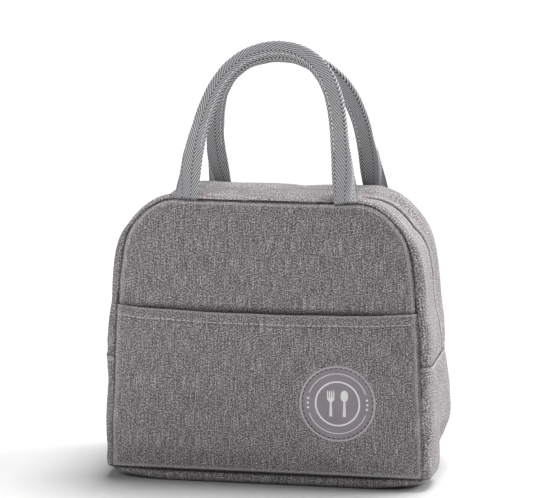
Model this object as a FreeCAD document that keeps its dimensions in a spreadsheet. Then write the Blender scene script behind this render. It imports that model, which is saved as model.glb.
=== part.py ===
"""Soft insulated lunch bag with a zipped mouth, a front slip pocket and two webbing handles.

Millimetres, +Z up, X across the width, the front faces -Y. The origin is in the middle of the
footprint, on the surface that the bag stands on.

The wall is a sandwich: fabric outside, foam in the middle, foil lining inside. Below split_height
the bag is a tub. Above it the front half and the back half are separate flaps, which swing apart
when the zip is open. Lengths called "forward" are measured from the middle plane towards the front.
"""
import FreeCAD, Part, Sketcher
import math
import os

SIZES = {
    # outer shape
    "base_half_width": 116.0,
    "body_depth": 130.0,
    "seam_height": 10.0,
    "zip_end_height": 92.0,
    "split_height": 106.0,
    "split_gap": 0.4,
    "top_height": 210.0,
    "side_taper": 2.6,
    "corner_radius": 40.0,
    # crown of the sides along the zip line, beyond the edge of the front panel
    "base_crown": 3.5,
    "zip_end_crown": 8.2,
    "ridge_taper": 8.0,
    "ridge_drop": 3.0,
    # wall
    "fabric": 1.2,
    "foam": 4.0,
    "lining": 0.6,
    "base_edge_radius": 7.0,
    # zip
    "zip_gap": 1.6,
    "tape_width": 14.0,
    "tape": 0.6,
    "coil_gap": 1.0,
    "coil_width": 2.2,
    "coil": 1.4,
    # seam binding and topstitching
    "binding_width": 8.0,
    "binding": 1.0,
    "stitch_width": 0.6,
    "stitch": 0.3,
    "stitch_drop": 3.5,
    "stitch_spacing": 4.0,
    # front pocket
    "pocket_height": 131.0,
    "pocket_gap": 5.2,
    "pocket_seam": 3.0,
    "hem_height": 7.5,
    # badge
    "badge_offset": 54.0,
    "badge_height": 64.0,
    "badge_radius": 28.2,
    "badge": 1.4,
    "badge_stitch_radius": 26.2,
    "print_radius": 16.7,
    "print_line": 1.2,
    "print": 0.2,
    "cutlery_offset": 5.0,
    "cutlery_reach": 10.0,
    "cutlery_width": 2.4,
    # handles
    "root_spacing": 120.0,
    "bow_radius": 47.0,
    "bow_centre": 75.0,
    "grip_width": 13.0,
    "grip": 7.0,
    "webbing": 1.8,
    "root_width": 21.0,
    "root_length": 26.0,
    "grip_start": 20.0,
    "grip_apart": 14.3,
    "handle_clearance": 1.3,
    # slider and pull
    "slider_length": 11.5,
    "slider_width": 8.4,
    "slider_plate": 1.3,
    "slider_clearance": 0.35,
    "slider_post": 0.4,
    "slider_post_length": 2.5,
    "slider_park": 1.0,
    "bridge_width": 2.0,
    "bridge_length": 7.6,
    "bridge_wall": 1.0,
    "pull": 1.0,
    "pull_width": 7.0,
    "pull_length": 28.0,
    "pull_window": 6.0,
    "pull_drop": 0.4,
    "pull_side_gap": 0.65,
}

doc = FreeCAD.newDocument("lunch_bag")
sheet = doc.addObject("Spreadsheet::Sheet", "Sizes")
for row, (alias, size) in enumerate(SIZES.items(), start=1):
    sheet.set(f"A{row}", alias)
    sheet.set(f"B{row}", str(size))
    sheet.setAlias(f"B{row}", alias)
doc.recompute()

sub_parts = []


def size(name):
    """The cell of the sheet, written as an expression."""
    return f"Sizes.{name}"


HALF_DEPTH = f"({size('body_depth')} / 2)"
FOAM_INSET = size("fabric")
LINING_INSET = f"({size('fabric')} + {size('foam')})"
INNER_INSET = f"({LINING_INSET} + {size('lining')})"
FLAP_BOTTOM = f"({size('split_height')} + {size('split_gap')})"
# How far a cutting tool reaches past the piece that it cuts.
MARGIN = "5"


# ---------------------------------------------------------------- sketches

def new_body(label, keep=True):
    """A PartDesign body. The ones that are kept become sub-parts."""
    body = doc.addObject("PartDesign::Body", label)
    body.Label = label
    if keep:
        sub_parts.append(body)
    return body


def new_sketch(body, role, offset="0"):
    """A sketch on one of the body's own origin planes, moved along its normal by an expression."""
    sketch = body.newObject("Sketcher::SketchObject", f"{body.Name}_sketch")
    plane = next(item for item in body.Origin.OriginFeatures if item.Role == role)
    sketch.AttachmentSupport = [(plane, "")]
    sketch.MapMode = "FlatFace"
    sketch.setExpression("AttachmentOffset.Base.z", offset)
    return sketch


def number(sketch, expression):
    """The present value of an expression, for the first drawing of a sketch."""
    value = sketch.evalExpression(expression)
    return float(getattr(value, "Value", value))


def bind(sketch, constraint, name, expression):
    """Adds a named constraint whose datum follows an expression."""
    index = sketch.addConstraint(constraint)
    sketch.renameConstraint(index, name)
    sketch.setExpression(f"Constraints.{name}", expression)


def polygon(body, role, offset, corners):
    """A closed polygon. Each corner is a pair of expressions."""
    sketch = new_sketch(body, role, offset)
    places = [(number(sketch, x), number(sketch, y)) for x, y in corners]
    count = len(corners)
    for index in range(count):
        start = FreeCAD.Vector(*places[index], 0)
        end = FreeCAD.Vector(*places[(index + 1) % count], 0)
        sketch.addGeometry(Part.LineSegment(start, end))
    for index in range(count):
        sketch.addConstraint(Sketcher.Constraint("Coincident", index, 2, (index + 1) % count, 1))
    for index, (x, y) in enumerate(corners):
        for axis, expression, kind, line in ((0, x, "DistanceX", -2), (1, y, "DistanceY", -1)):
            value = places[index][axis]
            if abs(value) < 1e-6:
                sketch.addConstraint(Sketcher.Constraint("PointOnObject", index, 1, line))
                continue
            constraint = Sketcher.Constraint(kind, -1, 1, index, 1, value)
            bind(sketch, constraint, f"corner_{index}_{kind}", expression)
    return sketch


def circles(body, role, offset, centre, radii):
    """Concentric circles about a centre given by two expressions."""
    sketch = new_sketch(body, role, offset)
    x, y = (number(sketch, item) for item in centre)
    for index, radius in enumerate(radii):
        round_edge = Part.Circle(FreeCAD.Vector(x, y, 0), FreeCAD.Vector(0, 0, 1), number(sketch, radius))
        sketch.addGeometry(round_edge)
        bind(sketch, Sketcher.Constraint("Radius", index, number(sketch, radius)), f"radius_{index}", radius)
        for kind, value, expression in (("DistanceX", x, centre[0]), ("DistanceY", y, centre[1])):
            constraint = Sketcher.Constraint(kind, -1, 1, index, 3, value)
            bind(sketch, constraint, f"centre_{index}_{kind}", expression)
    return sketch


def arch(body, offset, half_width, taper, bottom, top, radius):
    """The bag's front view: sides that lean in, a level top and two round corners.

    half_width is the expression of half the width at the bottom line."""
    sketch = new_sketch(body, "XZ_Plane", offset)
    half, low, high, bend = (number(sketch, item) for item in (half_width, bottom, top, radius))
    lean = math.radians(number(sketch, taper))
    centre_z = high - bend
    centre_x = half - (bend + (centre_z - low) * math.sin(lean)) / math.cos(lean)
    shoulder_x = centre_x + bend * math.cos(lean)
    shoulder_z = centre_z + bend * math.sin(lean)
    vector, up = FreeCAD.Vector, FreeCAD.Vector(0, 0, 1)
    right_bend = Part.Circle(vector(centre_x, centre_z, 0), up, bend)
    left_bend = Part.Circle(vector(-centre_x, centre_z, 0), up, bend)
    for edge in (
        Part.LineSegment(vector(-half, low, 0), vector(half, low, 0)),
        Part.LineSegment(vector(half, low, 0), vector(shoulder_x, shoulder_z, 0)),
        Part.ArcOfCircle(right_bend, lean, math.pi / 2),
        Part.LineSegment(vector(centre_x, high, 0), vector(-centre_x, high, 0)),
        Part.ArcOfCircle(left_bend, math.pi / 2, math.pi - lean),
        Part.LineSegment(vector(-shoulder_x, shoulder_z, 0), vector(-half, low, 0)),
    ):
        sketch.addGeometry(edge)
    sketch.addConstraint(Sketcher.Constraint("Coincident", 0, 2, 1, 1))
    sketch.addConstraint(Sketcher.Constraint("Coincident", 5, 2, 0, 1))
    for first in (1, 2, 3, 4):
        sketch.addConstraint(Sketcher.Constraint("Tangent", first, 2, first + 1, 1))
    sketch.addConstraint(Sketcher.Constraint("Symmetric", 0, 1, 0, 2, -2))
    sketch.addConstraint(Sketcher.Constraint("Symmetric", 3, 1, 3, 2, -2))
    sketch.addConstraint(Sketcher.Constraint("Equal", 2, 4))
    bind(sketch, Sketcher.Constraint("DistanceX", -1, 1, 0, 2, half), "half_width", half_width)
    bind(sketch, Sketcher.Constraint("DistanceY", -1, 1, 0, 2, low), "bottom", bottom)
    bind(sketch, Sketcher.Constraint("DistanceY", -1, 1, 3, 1, high), "top", top)
    bind(sketch, Sketcher.Constraint("Radius", 2, bend), "radius", radius)
    bind(sketch, Sketcher.Constraint("Angle", 1, math.pi / 2 + lean), "lean", f"(90 + {taper}) * 1 deg")
    return sketch


def bow(body, offset, half_width, bottom, centre, radius):
    """A handle's outline: two legs that lean in and run tangent into one round top."""
    sketch = new_sketch(body, "XZ_Plane", offset)
    half, low, middle, bend = (number(sketch, item) for item in (half_width, bottom, centre, radius))
    reach = math.hypot(half, middle - low)
    lean = math.atan2(half, middle - low) - math.asin(bend / reach)
    vector, up = FreeCAD.Vector, FreeCAD.Vector(0, 0, 1)
    round_top = Part.Circle(vector(0, middle, 0), up, bend)
    touch_x = bend * math.cos(lean)
    touch_z = middle + bend * math.sin(lean)
    for edge in (
        Part.LineSegment(vector(-half, low, 0), vector(half, low, 0)),
        Part.LineSegment(vector(half, low, 0), vector(touch_x, touch_z, 0)),
        Part.ArcOfCircle(round_top, lean, math.pi - lean),
        Part.LineSegment(vector(-touch_x, touch_z, 0), vector(-half, low, 0)),
    ):
        sketch.addGeometry(edge)
    sketch.addConstraint(Sketcher.Constraint("Coincident", 0, 2, 1, 1))
    sketch.addConstraint(Sketcher.Constraint("Coincident", 3, 2, 0, 1))
    sketch.addConstraint(Sketcher.Constraint("Tangent", 1, 2, 2, 1))
    sketch.addConstraint(Sketcher.Constraint("Tangent", 2, 2, 3, 1))
    sketch.addConstraint(Sketcher.Constraint("Symmetric", 0, 1, 0, 2, -2))
    sketch.addConstraint(Sketcher.Constraint("PointOnObject", 2, 3, -2))
    bind(sketch, Sketcher.Constraint("DistanceX", -1, 1, 0, 2, half), "half_width", half_width)
    if abs(low) < 1e-6:
        sketch.addConstraint(Sketcher.Constraint("PointOnObject", 0, 2, -1))
    else:
        bind(sketch, Sketcher.Constraint("DistanceY", -1, 1, 0, 2, low), "bottom", bottom)
    bind(sketch, Sketcher.Constraint("DistanceY", -1, 1, 2, 3, middle), "centre", centre)
    bind(sketch, Sketcher.Constraint("Radius", 2, bend), "radius", radius)
    return sketch


# ---------------------------------------------------------------- features

def extrude(body, kind, sketch, length, reverse=False):
    """A Pad or a Pocket of a sketch."""
    feature = body.newObject(f"PartDesign::{kind}", f"{body.Name}_{kind}")
    feature.Profile = sketch
    feature.Reversed = reverse
    feature.setExpression("Length", length)
    return feature


def loft(body, kind, sections):
    """An AdditiveLoft or a SubtractiveLoft with straight runs between its sections."""
    feature = body.newObject(f"PartDesign::{kind}", f"{body.Name}_{kind}")
    feature.Profile = sections[0]
    feature.Sections = sections[1:]
    feature.Ruled = True
    return feature


def mirror(source, label, normal, keep=True):
    """The same piece on the other side of a middle plane."""
    copy = doc.addObject("Part::Mirroring", label)
    copy.Label = label
    copy.Source = source
    copy.Normal = normal
    if keep:
        sub_parts.append(copy)
    return copy


def group(label, pieces):
    """Several solids of one sort, kept as one sub-part."""
    compound = doc.addObject("Part::Compound", label)
    compound.Label = label
    compound.Links = pieces
    sub_parts.append(compound)
    return compound


FRONT_TO_BACK = FreeCAD.Vector(0, 1, 0)
LEFT_TO_RIGHT = FreeCAD.Vector(1, 0, 0)


# ---------------------------------------------------------------- shape of the wall

def between(ridge, panel, forward):
    """Runs from the value on the zip line to the value on the panel, by the forward distance."""
    return f"({ridge} + ({panel} - {ridge}) * ({forward}) / {HALF_DEPTH})"


def panel_half(height):
    """Half the width of the front and back panels at a height."""
    return f"({size('base_half_width')} - (({height}) - {size('seam_height')}) * tan({size('side_taper')} * 1 deg))"


BASE_RIDGE = f"({size('base_half_width')} + {size('base_crown')})"
ZIP_END_RIDGE = f"({panel_half(size('zip_end_height'))} + {size('zip_end_crown')})"


def ridge_half(height):
    """Half the width at the zip line, above the zip ends."""
    return f"({ZIP_END_RIDGE} - (({height}) - {size('zip_end_height')}) * tan({size('ridge_taper')} * 1 deg))"


def arch_section(body, forward, inset, bottom):
    """The outline of the upper bag at a forward distance, inset from the outer face."""
    taper = between(size("ridge_taper"), size("side_taper"), forward)
    half = between(ridge_half(bottom), panel_half(bottom), forward)
    top = between(f"({size('top_height')} - {size('ridge_drop')})", size("top_height"), forward)
    return arch(
        body, forward, f"{half} - ({inset}) / cos({taper} * 1 deg)", taper, bottom,
        f"{top} - ({inset})", f"{size('corner_radius')} - ({inset})",
    )


def trim(body, low, high):
    """Cuts a piece of the upper bag down to the stretch between two forward distances."""
    side = f"({BASE_RIDGE} + {MARGIN})"
    floor, roof = f"({FLAP_BOTTOM} - {MARGIN})", f"({size('top_height')} + {MARGIN})"
    corners = [(f"-{side}", floor), (side, floor), (side, roof), (f"-{side}", roof)]
    for start, end in (("0", low), (high, HALF_DEPTH)):
        extrude(body, "Pocket", polygon(body, "XZ_Plane", start, corners), f"({end}) - ({start})", reverse=True)


def arch_block(label, inset, low, high):
    """The whole stretch of the upper bag inside an inset. Every layer is cut from one lean of the wall,
    so that two layers that touch share a face."""
    body = new_body(label)
    loft(body, "AdditiveLoft", [arch_section(body, forward, inset, FLAP_BOTTOM) for forward in ("0", HALF_DEPTH)])
    trim(body, low, high)
    return body


def arch_shell(label, outer, inner, low, high):
    """A strip that follows the gusset over the top, from one inset to another."""
    body = arch_block(label, outer, low, high)
    below = f"({FLAP_BOTTOM} - {MARGIN})"
    loft(body, "SubtractiveLoft", [arch_section(body, forward, inner, below) for forward in ("0", HALF_DEPTH)])
    return body


def upper_plate(label, forward, thickness):
    """A flat piece with the outline of the upper panel."""
    body = new_body(label)
    outline = arch(
        body, forward, panel_half(FLAP_BOTTOM), size("side_taper"), FLAP_BOTTOM,
        size("top_height"), size("corner_radius"),
    )
    extrude(body, "Pad", outline, thickness)
    return body


def trapezoid(body, forward, inset, bottom, top):
    """The outline of a stretch of the lower panel between two heights."""
    corners = [(panel_half(height), height, side) for height, side in
               ((bottom, 1), (top, 1), (top, -1), (bottom, -1))]
    points = [(f"{side} * ({half} - ({inset}))", f"({height})") for half, height, side in corners]
    return polygon(body, "XZ_Plane", forward, points)


def lower_plate(label, inset, forward, thickness, bottom):
    """A flat piece with the outline of the lower panel."""
    body = new_body(label)
    outline = trapezoid(body, forward, inset, bottom, size("split_height"))
    extrude(body, "Pad", outline, thickness)
    return body


def side_half(forward, height):
    """Half the width of the lower side at a forward distance and a height below the zip ends."""
    rise = f"(({height}) - {size('seam_height')}) / ({size('zip_end_height')} - {size('seam_height')})"
    ridge = f"({BASE_RIDGE} + ({ZIP_END_RIDGE} - {BASE_RIDGE}) * {rise})"
    return between(ridge, panel_half(height), forward)


def foot_half(forward, height):
    """Half the width between the zip ends and the split."""
    return between(ridge_half(height), panel_half(height), forward)


def strip_section(body, half_width, forward, outer, inner, bottom, top):
    """A slice through a side wall: outer and inner edge at two heights."""
    reach = f"sqrt(({forward}) * ({forward}))"
    corners = ((bottom, outer), (top, outer), (top, inner), (bottom, inner))
    points = [(f"{half_width(reach, height)} - ({inset})", f"({height})") for height, inset in corners]
    return polygon(body, "XZ_Plane", forward, points)


def side_strip(label, half_width, forwards, outer, inner, bottom, top, keep=True):
    """A piece of the right side wall, lofted through slices from front to back."""
    body = new_body(label, keep)
    sections = [strip_section(body, half_width, forward, outer, inner, bottom, top) for forward in forwards]
    loft(body, "AdditiveLoft", sections)
    return body


# ---------------------------------------------------------------- tub

def plan(body, height, half_width, ridge, inset):
    """The bag seen from above at one height: straight front and back, sides with a ridge."""
    corner, crown, reach = (f"({length} - ({inset}))" for length in (half_width, ridge, HALF_DEPTH))
    points = [(corner, f"-{reach}"), (crown, "0"), (corner, reach),
              (f"-{corner}", reach), (f"-{crown}", "0"), (f"-{corner}", f"-{reach}")]
    return polygon(body, "XY_Plane", height, points)


def make_base():
    """The bottom panel: a shallow tray with round lower edges, and its foam pad."""
    tray = new_body("base_panel")
    half = size("base_half_width")
    pad = extrude(tray, "Pad", plan(tray, "0", half, BASE_RIDGE, "0"), size("seam_height"))
    doc.recompute()
    bottom_edges = [f"Edge{index}" for index, edge in enumerate(pad.Shape.Edges, start=1)
                    if edge.BoundBox.ZMax < 1e-6]
    rounding = tray.newObject("PartDesign::Fillet", "base_rounding")
    rounding.Base = (pad, bottom_edges)
    rounding.setExpression("Radius", size("base_edge_radius"))
    edge = f"{size('base_edge_radius')} / 2"
    depth_inside = f"{size('seam_height')} - {size('fabric')}"
    extrude(tray, "Pocket", plan(tray, size("seam_height"), half, BASE_RIDGE, edge), depth_inside)
    foam = new_body("base_foam")
    extrude(foam, "Pad", plan(foam, size("fabric"), half, BASE_RIDGE, edge), depth_inside)


def make_tub_walls():
    """Fabric and foam of the lower front, back and sides."""
    seam = size("seam_height")
    fabric_front = lower_plate(
        "lower_front_panel", "0", f"{HALF_DEPTH} - {size('fabric')}", size("fabric"), seam)
    foam_front = lower_plate(
        "lower_front_foam", FOAM_INSET, f"{HALF_DEPTH} - {LINING_INSET}", size("foam"), seam)
    mirror(fabric_front, "lower_back_panel", FRONT_TO_BACK)
    mirror(foam_front, "lower_back_foam", FRONT_TO_BACK)
    fabric_reach = f"({HALF_DEPTH} - {size('fabric')})"
    foam_reach = f"({HALF_DEPTH} - {LINING_INSET})"
    top = size("zip_end_height")
    right_panel = side_strip(
        "right_side_panel", side_half, (fabric_reach, "0", f"-{fabric_reach}"), "0", size("fabric"), seam, top)
    right_foam = side_strip(
        "right_side_foam", side_half, (foam_reach, "0", f"-{foam_reach}"), FOAM_INSET, LINING_INSET, seam, top)
    mirror(right_panel, "left_side_panel", LEFT_TO_RIGHT)
    mirror(right_foam, "left_side_foam", LEFT_TO_RIGHT)


def four_ways(label, piece):
    """One node with the piece at the front right and its three mirror images."""
    back = mirror(piece, f"{label}_back", FRONT_TO_BACK, keep=False)
    left = mirror(piece, f"{label}_left", LEFT_TO_RIGHT, keep=False)
    back_left = mirror(back, f"{label}_back_left", LEFT_TO_RIGHT, keep=False)
    group(label, [piece, back, left, back_left])


def make_feet():
    """The short stretch of gusset and zip between the zip ends and the split."""
    low, high = size("zip_end_height"), size("split_height")
    gusset = (f"{size('zip_gap')} / 2", f"({HALF_DEPTH} - {size('fabric')})")
    tape = (f"{size('coil_gap')} / 2", size("tape_width"))
    coil = (f"{size('coil_gap')} / 2", f"{size('coil_gap')} / 2 + {size('coil_width')}")
    tape_inset = f"{size('fabric')} + {size('tape')}"
    coil_inset = f"{tape_inset} + {size('coil')}"
    layers = (
        ("gusset_feet", gusset, "0", size("fabric")),
        ("zip_end_tape", tape, size("fabric"), tape_inset),
        ("zip_end_teeth", coil, tape_inset, coil_inset),
    )
    for label, forwards, outer, inner in layers:
        piece = side_strip(f"{label}_front", foot_half, forwards, outer, inner, low, high, keep=False)
        four_ways(label, piece)


def make_tub_lining():
    """The foil lining of the tub, one welded piece."""
    body = new_body("lower_lining")
    floor, rim = size("seam_height"), size("split_height")

    def ring(height, inset):
        ridge = ridge_half(height) if height == rim else BASE_RIDGE
        return plan(body, height, panel_half(height), ridge, inset)

    loft(body, "AdditiveLoft", [ring(floor, LINING_INSET), ring(rim, LINING_INSET)])
    inner_floor = f"({floor} + {size('lining')})"
    loft(body, "SubtractiveLoft", [ring(inner_floor, INNER_INSET), ring(rim, INNER_INSET)])


def make_topstitching():
    """Two rows of thread under each cross seam."""
    rows = []
    for row in (0, 1):
        top = f"({size('zip_end_height')} - {size('stitch_drop')} - {row} * {size('stitch_spacing')})"
        reach = f"({HALF_DEPTH} - {size('pocket_seam')})"
        right = side_strip(
            f"side_row_{row}", side_half, (reach, "0", f"-{reach}"), f"-{size('stitch')}", "0",
            f"{top} - {size('stitch_width')}", top, keep=False)
        rows += [right, mirror(right, f"side_row_{row}_left", LEFT_TO_RIGHT, keep=False)]
    group("side_topstitching", rows)


# ---------------------------------------------------------------- flaps

def make_flaps():
    """The upper front half, and the upper back half as its mirror image."""
    fabric_reach = f"({HALF_DEPTH} - {size('fabric')})"
    foam_reach = f"({HALF_DEPTH} - {LINING_INSET})"
    tape_inset = f"{size('fabric')} + {size('tape')}"
    coil_start = f"{size('coil_gap')} / 2"
    pieces = {
        "panel": upper_plate("front_panel", fabric_reach, size("fabric")),
        "foam": arch_block("front_foam", FOAM_INSET, foam_reach, fabric_reach),
        "gusset": arch_shell("front_gusset", "0", size("fabric"), f"{size('zip_gap')} / 2", fabric_reach),
        "gusset_foam": arch_shell("front_gusset_foam", FOAM_INSET, LINING_INSET, size("tape_width"), foam_reach),
        "zip_tape": arch_shell("front_zip_tape", size("fabric"), tape_inset, coil_start, size("tape_width")),
        "zip_teeth": arch_shell(
            "front_zip_teeth", tape_inset, f"{tape_inset} + {size('coil')}", coil_start,
            f"{coil_start} + {size('coil_width')}"),
        "lining": make_flap_lining(),
        "seam_binding": arch_shell(
            "front_seam_binding", INNER_INSET, f"{INNER_INSET} + {size('binding')}",
            f"{HALF_DEPTH} - {INNER_INSET} - {size('binding_width')}", f"{HALF_DEPTH} - {INNER_INSET}"),
    }
    for name, piece in pieces.items():
        mirror(piece, f"back_{name}", FRONT_TO_BACK)


def make_flap_lining():
    """The foil lining of one flap: a flat sheet with the gusset strip welded round it."""
    start, end = size("tape_width"), f"{HALF_DEPTH} - {INNER_INSET}"
    body = arch_block("front_lining", LINING_INSET, start, f"{HALF_DEPTH} - {LINING_INSET}")
    below = f"({FLAP_BOTTOM} - {MARGIN})"
    loft(body, "SubtractiveLoft", [arch_section(body, forward, INNER_INSET, below) for forward in ("0", end)])
    return body


# ---------------------------------------------------------------- pocket and badge

def pocket_piece(label, bottom, top, open_bottom):
    """A stretch of the front pocket: a sheet that stands off the panel, joined to it at the sides."""
    body = new_body(label)
    stand = f"{size('pocket_gap')} + {size('fabric')}"
    extrude(body, "Pad", trapezoid(body, HALF_DEPTH, "0", bottom, top), stand)
    floor = f"{bottom} - {MARGIN}" if open_bottom else f"{bottom} + {size('pocket_seam')}"
    hollow = trapezoid(body, HALF_DEPTH, size("pocket_seam"), floor, f"{top} + {MARGIN}")
    extrude(body, "Pocket", hollow, size("pocket_gap"), reverse=True)
    return body


def make_pocket():
    """The slip pocket below and above the split, and the thread of its hem."""
    pocket_piece("pocket_lower", size("seam_height"), size("split_height"), open_bottom=False)
    pocket_piece("pocket_upper", FLAP_BOTTOM, size("pocket_height"), open_bottom=True)
    thread = new_body("pocket_hem_stitching")
    top = f"{size('pocket_height')} - {size('hem_height')}"
    face = f"{HALF_DEPTH} + {size('pocket_gap')} + {size('fabric')}"
    outline = trapezoid(thread, face, size("pocket_seam"), f"{top} - {size('stitch_width')}", top)
    extrude(thread, "Pad", outline, size("stitch"))


def make_badge():
    """The round badge on the pocket, its edge stitch and its printed ring with a fork and a spoon."""
    face = f"{HALF_DEPTH} + {size('pocket_gap')} + {size('fabric')}"
    front = f"{face} + {size('badge')}"
    x, z = size("badge_offset"), size("badge_height")
    centre = (x, z)
    disc = new_body("badge")
    extrude(disc, "Pad", circles(disc, "XZ_Plane", face, centre, [size("badge_radius")]), size("badge"))
    thread = new_body("badge_stitching")
    radius = size("badge_stitch_radius")
    ring = circles(thread, "XZ_Plane", front, centre, [radius, f"{radius} - {size('stitch_width')}"])
    extrude(thread, "Pad", ring, size("stitch"))
    outer = size("print_radius")
    line = new_body("print_ring", keep=False)
    ring = circles(line, "XZ_Plane", front, centre, [outer, f"{outer} - {size('print_line')}"])
    extrude(line, "Pad", ring, size("print"))
    marks = [line]
    reach, wide = size("cutlery_reach"), f"{size('cutlery_width')} / 2"
    for name, sign in (("print_fork", "-"), ("print_spoon", "+")):
        bar = new_body(name, keep=False)
        middle = f"({x} {sign} {size('cutlery_offset')})"
        corners = [(f"{middle} - {wide}", f"{z} - {reach}"), (f"{middle} + {wide}", f"{z} - {reach}"),
                   (f"{middle} + {wide}", f"{z} + {reach}"), (f"{middle} - {wide}", f"{z} + {reach}")]
        extrude(bar, "Pad", polygon(bar, "XZ_Plane", front, corners), size("print"))
        marks.append(bar)
    group("badge_print", marks)


# ---------------------------------------------------------------- handles

def place_handle(item):
    """Stands a handle on the front top seam, leaning in until the tops of the two grips nearly meet."""
    stand = f"({HALF_DEPTH} + {size('handle_clearance')})"
    bow_height = f"({size('bow_centre')} + {size('bow_radius')})"
    item.Placement = FreeCAD.Placement(FreeCAD.Vector(), FreeCAD.Rotation(FreeCAD.Vector(-1, 0, 0), 1))
    lean = f"asin(({stand} - {size('grip_apart')} / 2) / {bow_height})"
    item.setExpression("Placement.Rotation.Angle", lean)
    item.setExpression("Placement.Base.y", f"-{stand}")
    item.setExpression("Placement.Base.z", f"{size('top_height')} + {size('webbing')} / 2")


def bow_band(body, width, start, thickness, offset):
    """A flat band of the given width along the handle's middle line."""
    half = f"{size('root_spacing')} / 2"
    lean = f"(({size('root_spacing')} / 2 - {size('bow_radius')}) / {size('bow_centre')})"
    shift = f"({start}) * {lean}"
    outer = bow(body, offset, f"{half} - {shift} + ({width}) / 2", start, size("bow_centre"),
                f"{size('bow_radius')} + ({width}) / 2")
    extrude(body, "Pad", outer, thickness)
    inner = bow(body, offset, f"{half} - {shift} - ({width}) / 2", start, size("bow_centre"),
                f"{size('bow_radius')} - ({width}) / 2")
    extrude(body, "Pocket", inner, thickness, reverse=True)


def make_handles():
    """Webbing that is flat at its sewn roots and folded to a round grip above them."""
    webbing = new_body("front_handle")
    bow_band(webbing, size("grip_width"), size("grip_start"), size("grip"), f"-{size('grip')} / 2")
    half = f"{size('root_spacing')} / 2"
    lean = f"(({size('root_spacing')} / 2 - {size('bow_radius')}) / {size('bow_centre')})"
    for side in (1, -1):
        foot, head = f"{size('root_width')} / 2", f"{size('grip_width')} / 2"
        middle = f"({half} - {size('root_length')} * {lean})"
        corners = [(f"{side} * ({half} - {foot})", "0"), (f"{side} * ({half} + {foot})", "0"),
                   (f"{side} * ({middle} + {head})", size("root_length")),
                   (f"{side} * ({middle} - {head})", size("root_length"))]
        outline = polygon(webbing, "XZ_Plane", f"-{size('webbing')} / 2", corners)
        extrude(webbing, "Pad", outline, size("webbing"))
    place_handle(webbing)
    threads = []
    for name, offset in (("grip_thread_front", f"{size('grip')} / 2"),
                         ("grip_thread_rear", f"-{size('grip')} / 2 - {size('stitch')}")):
        thread = new_body(name, keep=False)
        start = f"({size('root_length')} + {size('grip_width')})"
        bow_band(thread, size("stitch_width"), start, size("stitch"), offset)
        place_handle(thread)
        threads.append(thread)
    stitching = group("front_handle_stitching", threads)
    mirror(webbing, "back_handle", FRONT_TO_BACK)
    mirror(stitching, "back_handle_stitching", FRONT_TO_BACK)


# ---------------------------------------------------------------- slider

def place_on_zip(item):
    """Puts a piece on the left zip line: its own x points out of the bag and its z runs up the zip."""
    height = f"({size('zip_end_height')} + {size('slider_length')} / 2 + {size('slider_park')})"
    item.Placement = FreeCAD.Placement(
        FreeCAD.Vector(), FreeCAD.Rotation(FreeCAD.Vector(0, 0, 1), 180))
    turn = f"({size('ridge_taper')} / 2)"
    item.setExpression("Placement.Rotation.Angle", "180 deg")
    item.setExpression("Placement.Rotation.Axis.x", f"sin({turn} * 1 deg)")
    item.setExpression("Placement.Rotation.Axis.z", f"cos({turn} * 1 deg)")
    item.setExpression("Placement.Base.x", f"-{ridge_half(height)}")
    item.setExpression("Placement.Base.z", height)


def block(body, kind, low, high):
    """A box between two corners given by expressions, added or taken away."""
    corners = [(low[0], low[1]), (high[0], low[1]), (high[0], high[1]), (low[0], high[1])]
    sketch = polygon(body, "XY_Plane", low[2], corners)
    extrude(body, kind, sketch, f"({high[2]}) - ({low[2]})", reverse=kind == "Pocket")


def make_slider():
    """The slider: a plate above the zip and one below it, a post between them, and a bridge."""
    slider = new_body("zip_slider")
    long, wide = f"{size('slider_length')} / 2", f"{size('slider_width')} / 2"
    gap, plate = size("slider_clearance"), size("slider_plate")
    depth = f"({size('fabric')} + {size('tape')} + {size('coil')} + {gap})"
    post = size("slider_post")
    block(slider, "Pad", (gap, f"-({wide})", f"-({long})"), (f"{gap} + {plate}", wide, long))
    block(slider, "Pad", (f"-{depth}", f"-{post} / 2", f"-({long})"),
          (gap, f"{post} / 2", f"-({long}) + {size('slider_post_length')}"))
    block(slider, "Pad", (f"-{depth} - {plate}", f"-({wide})", f"-({long})"), (f"-{depth}", wide, long))
    face = f"({gap} + {plate})"
    room = f"(2 * {gap} + {size('pull')})"
    half_bridge = f"{size('bridge_width')} / 2"
    reach = f"{size('bridge_length')} / 2"
    block(slider, "Pad", (face, f"-{half_bridge}", f"-{reach}"),
          (f"{face} + {room} + {size('bridge_wall')}", half_bridge, reach))
    block(slider, "Pocket", (face, f"-{half_bridge} - {MARGIN}", f"-{reach} + {size('bridge_wall')}"),
          (f"{face} + {room}", f"{half_bridge} + {MARGIN}", f"{reach} - {size('bridge_wall')}"))
    place_on_zip(slider)

    pull = new_body("pull_tab")
    axis = f"({face} + {room} / 2)"
    wall = f"{size('pull_width')} / 2"
    slot = f"({half_bridge} + {size('pull_side_gap')})"
    half_pull, level = f"{size('pull')} / 2", f"(0 - {size('pull_drop')})"
    bar = circles(pull, "XZ_Plane", f"-({wall})", (axis, level), [half_pull])
    extrude(pull, "Pad", bar, size("pull_width"))
    low, high = f"{axis} - {half_pull}", f"{axis} + {half_pull}"
    block(pull, "Pad", (low, f"-({wall})", f"-{size('pull_length')}"), (high, wall, level))
    block(pull, "Pocket", (f"{low} - {MARGIN}", f"-{slot}", f"-{size('pull_window')}"),
          (f"{high} + {MARGIN}", slot, f"{level} - {half_pull}"))
    place_on_zip(pull)


# ---------------------------------------------------------------- build and write

make_base()
make_tub_walls()
make_feet()
make_tub_lining()
make_topstitching()
make_flaps()
make_pocket()
make_badge()
make_handles()
make_slider()
doc.recompute()

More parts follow.
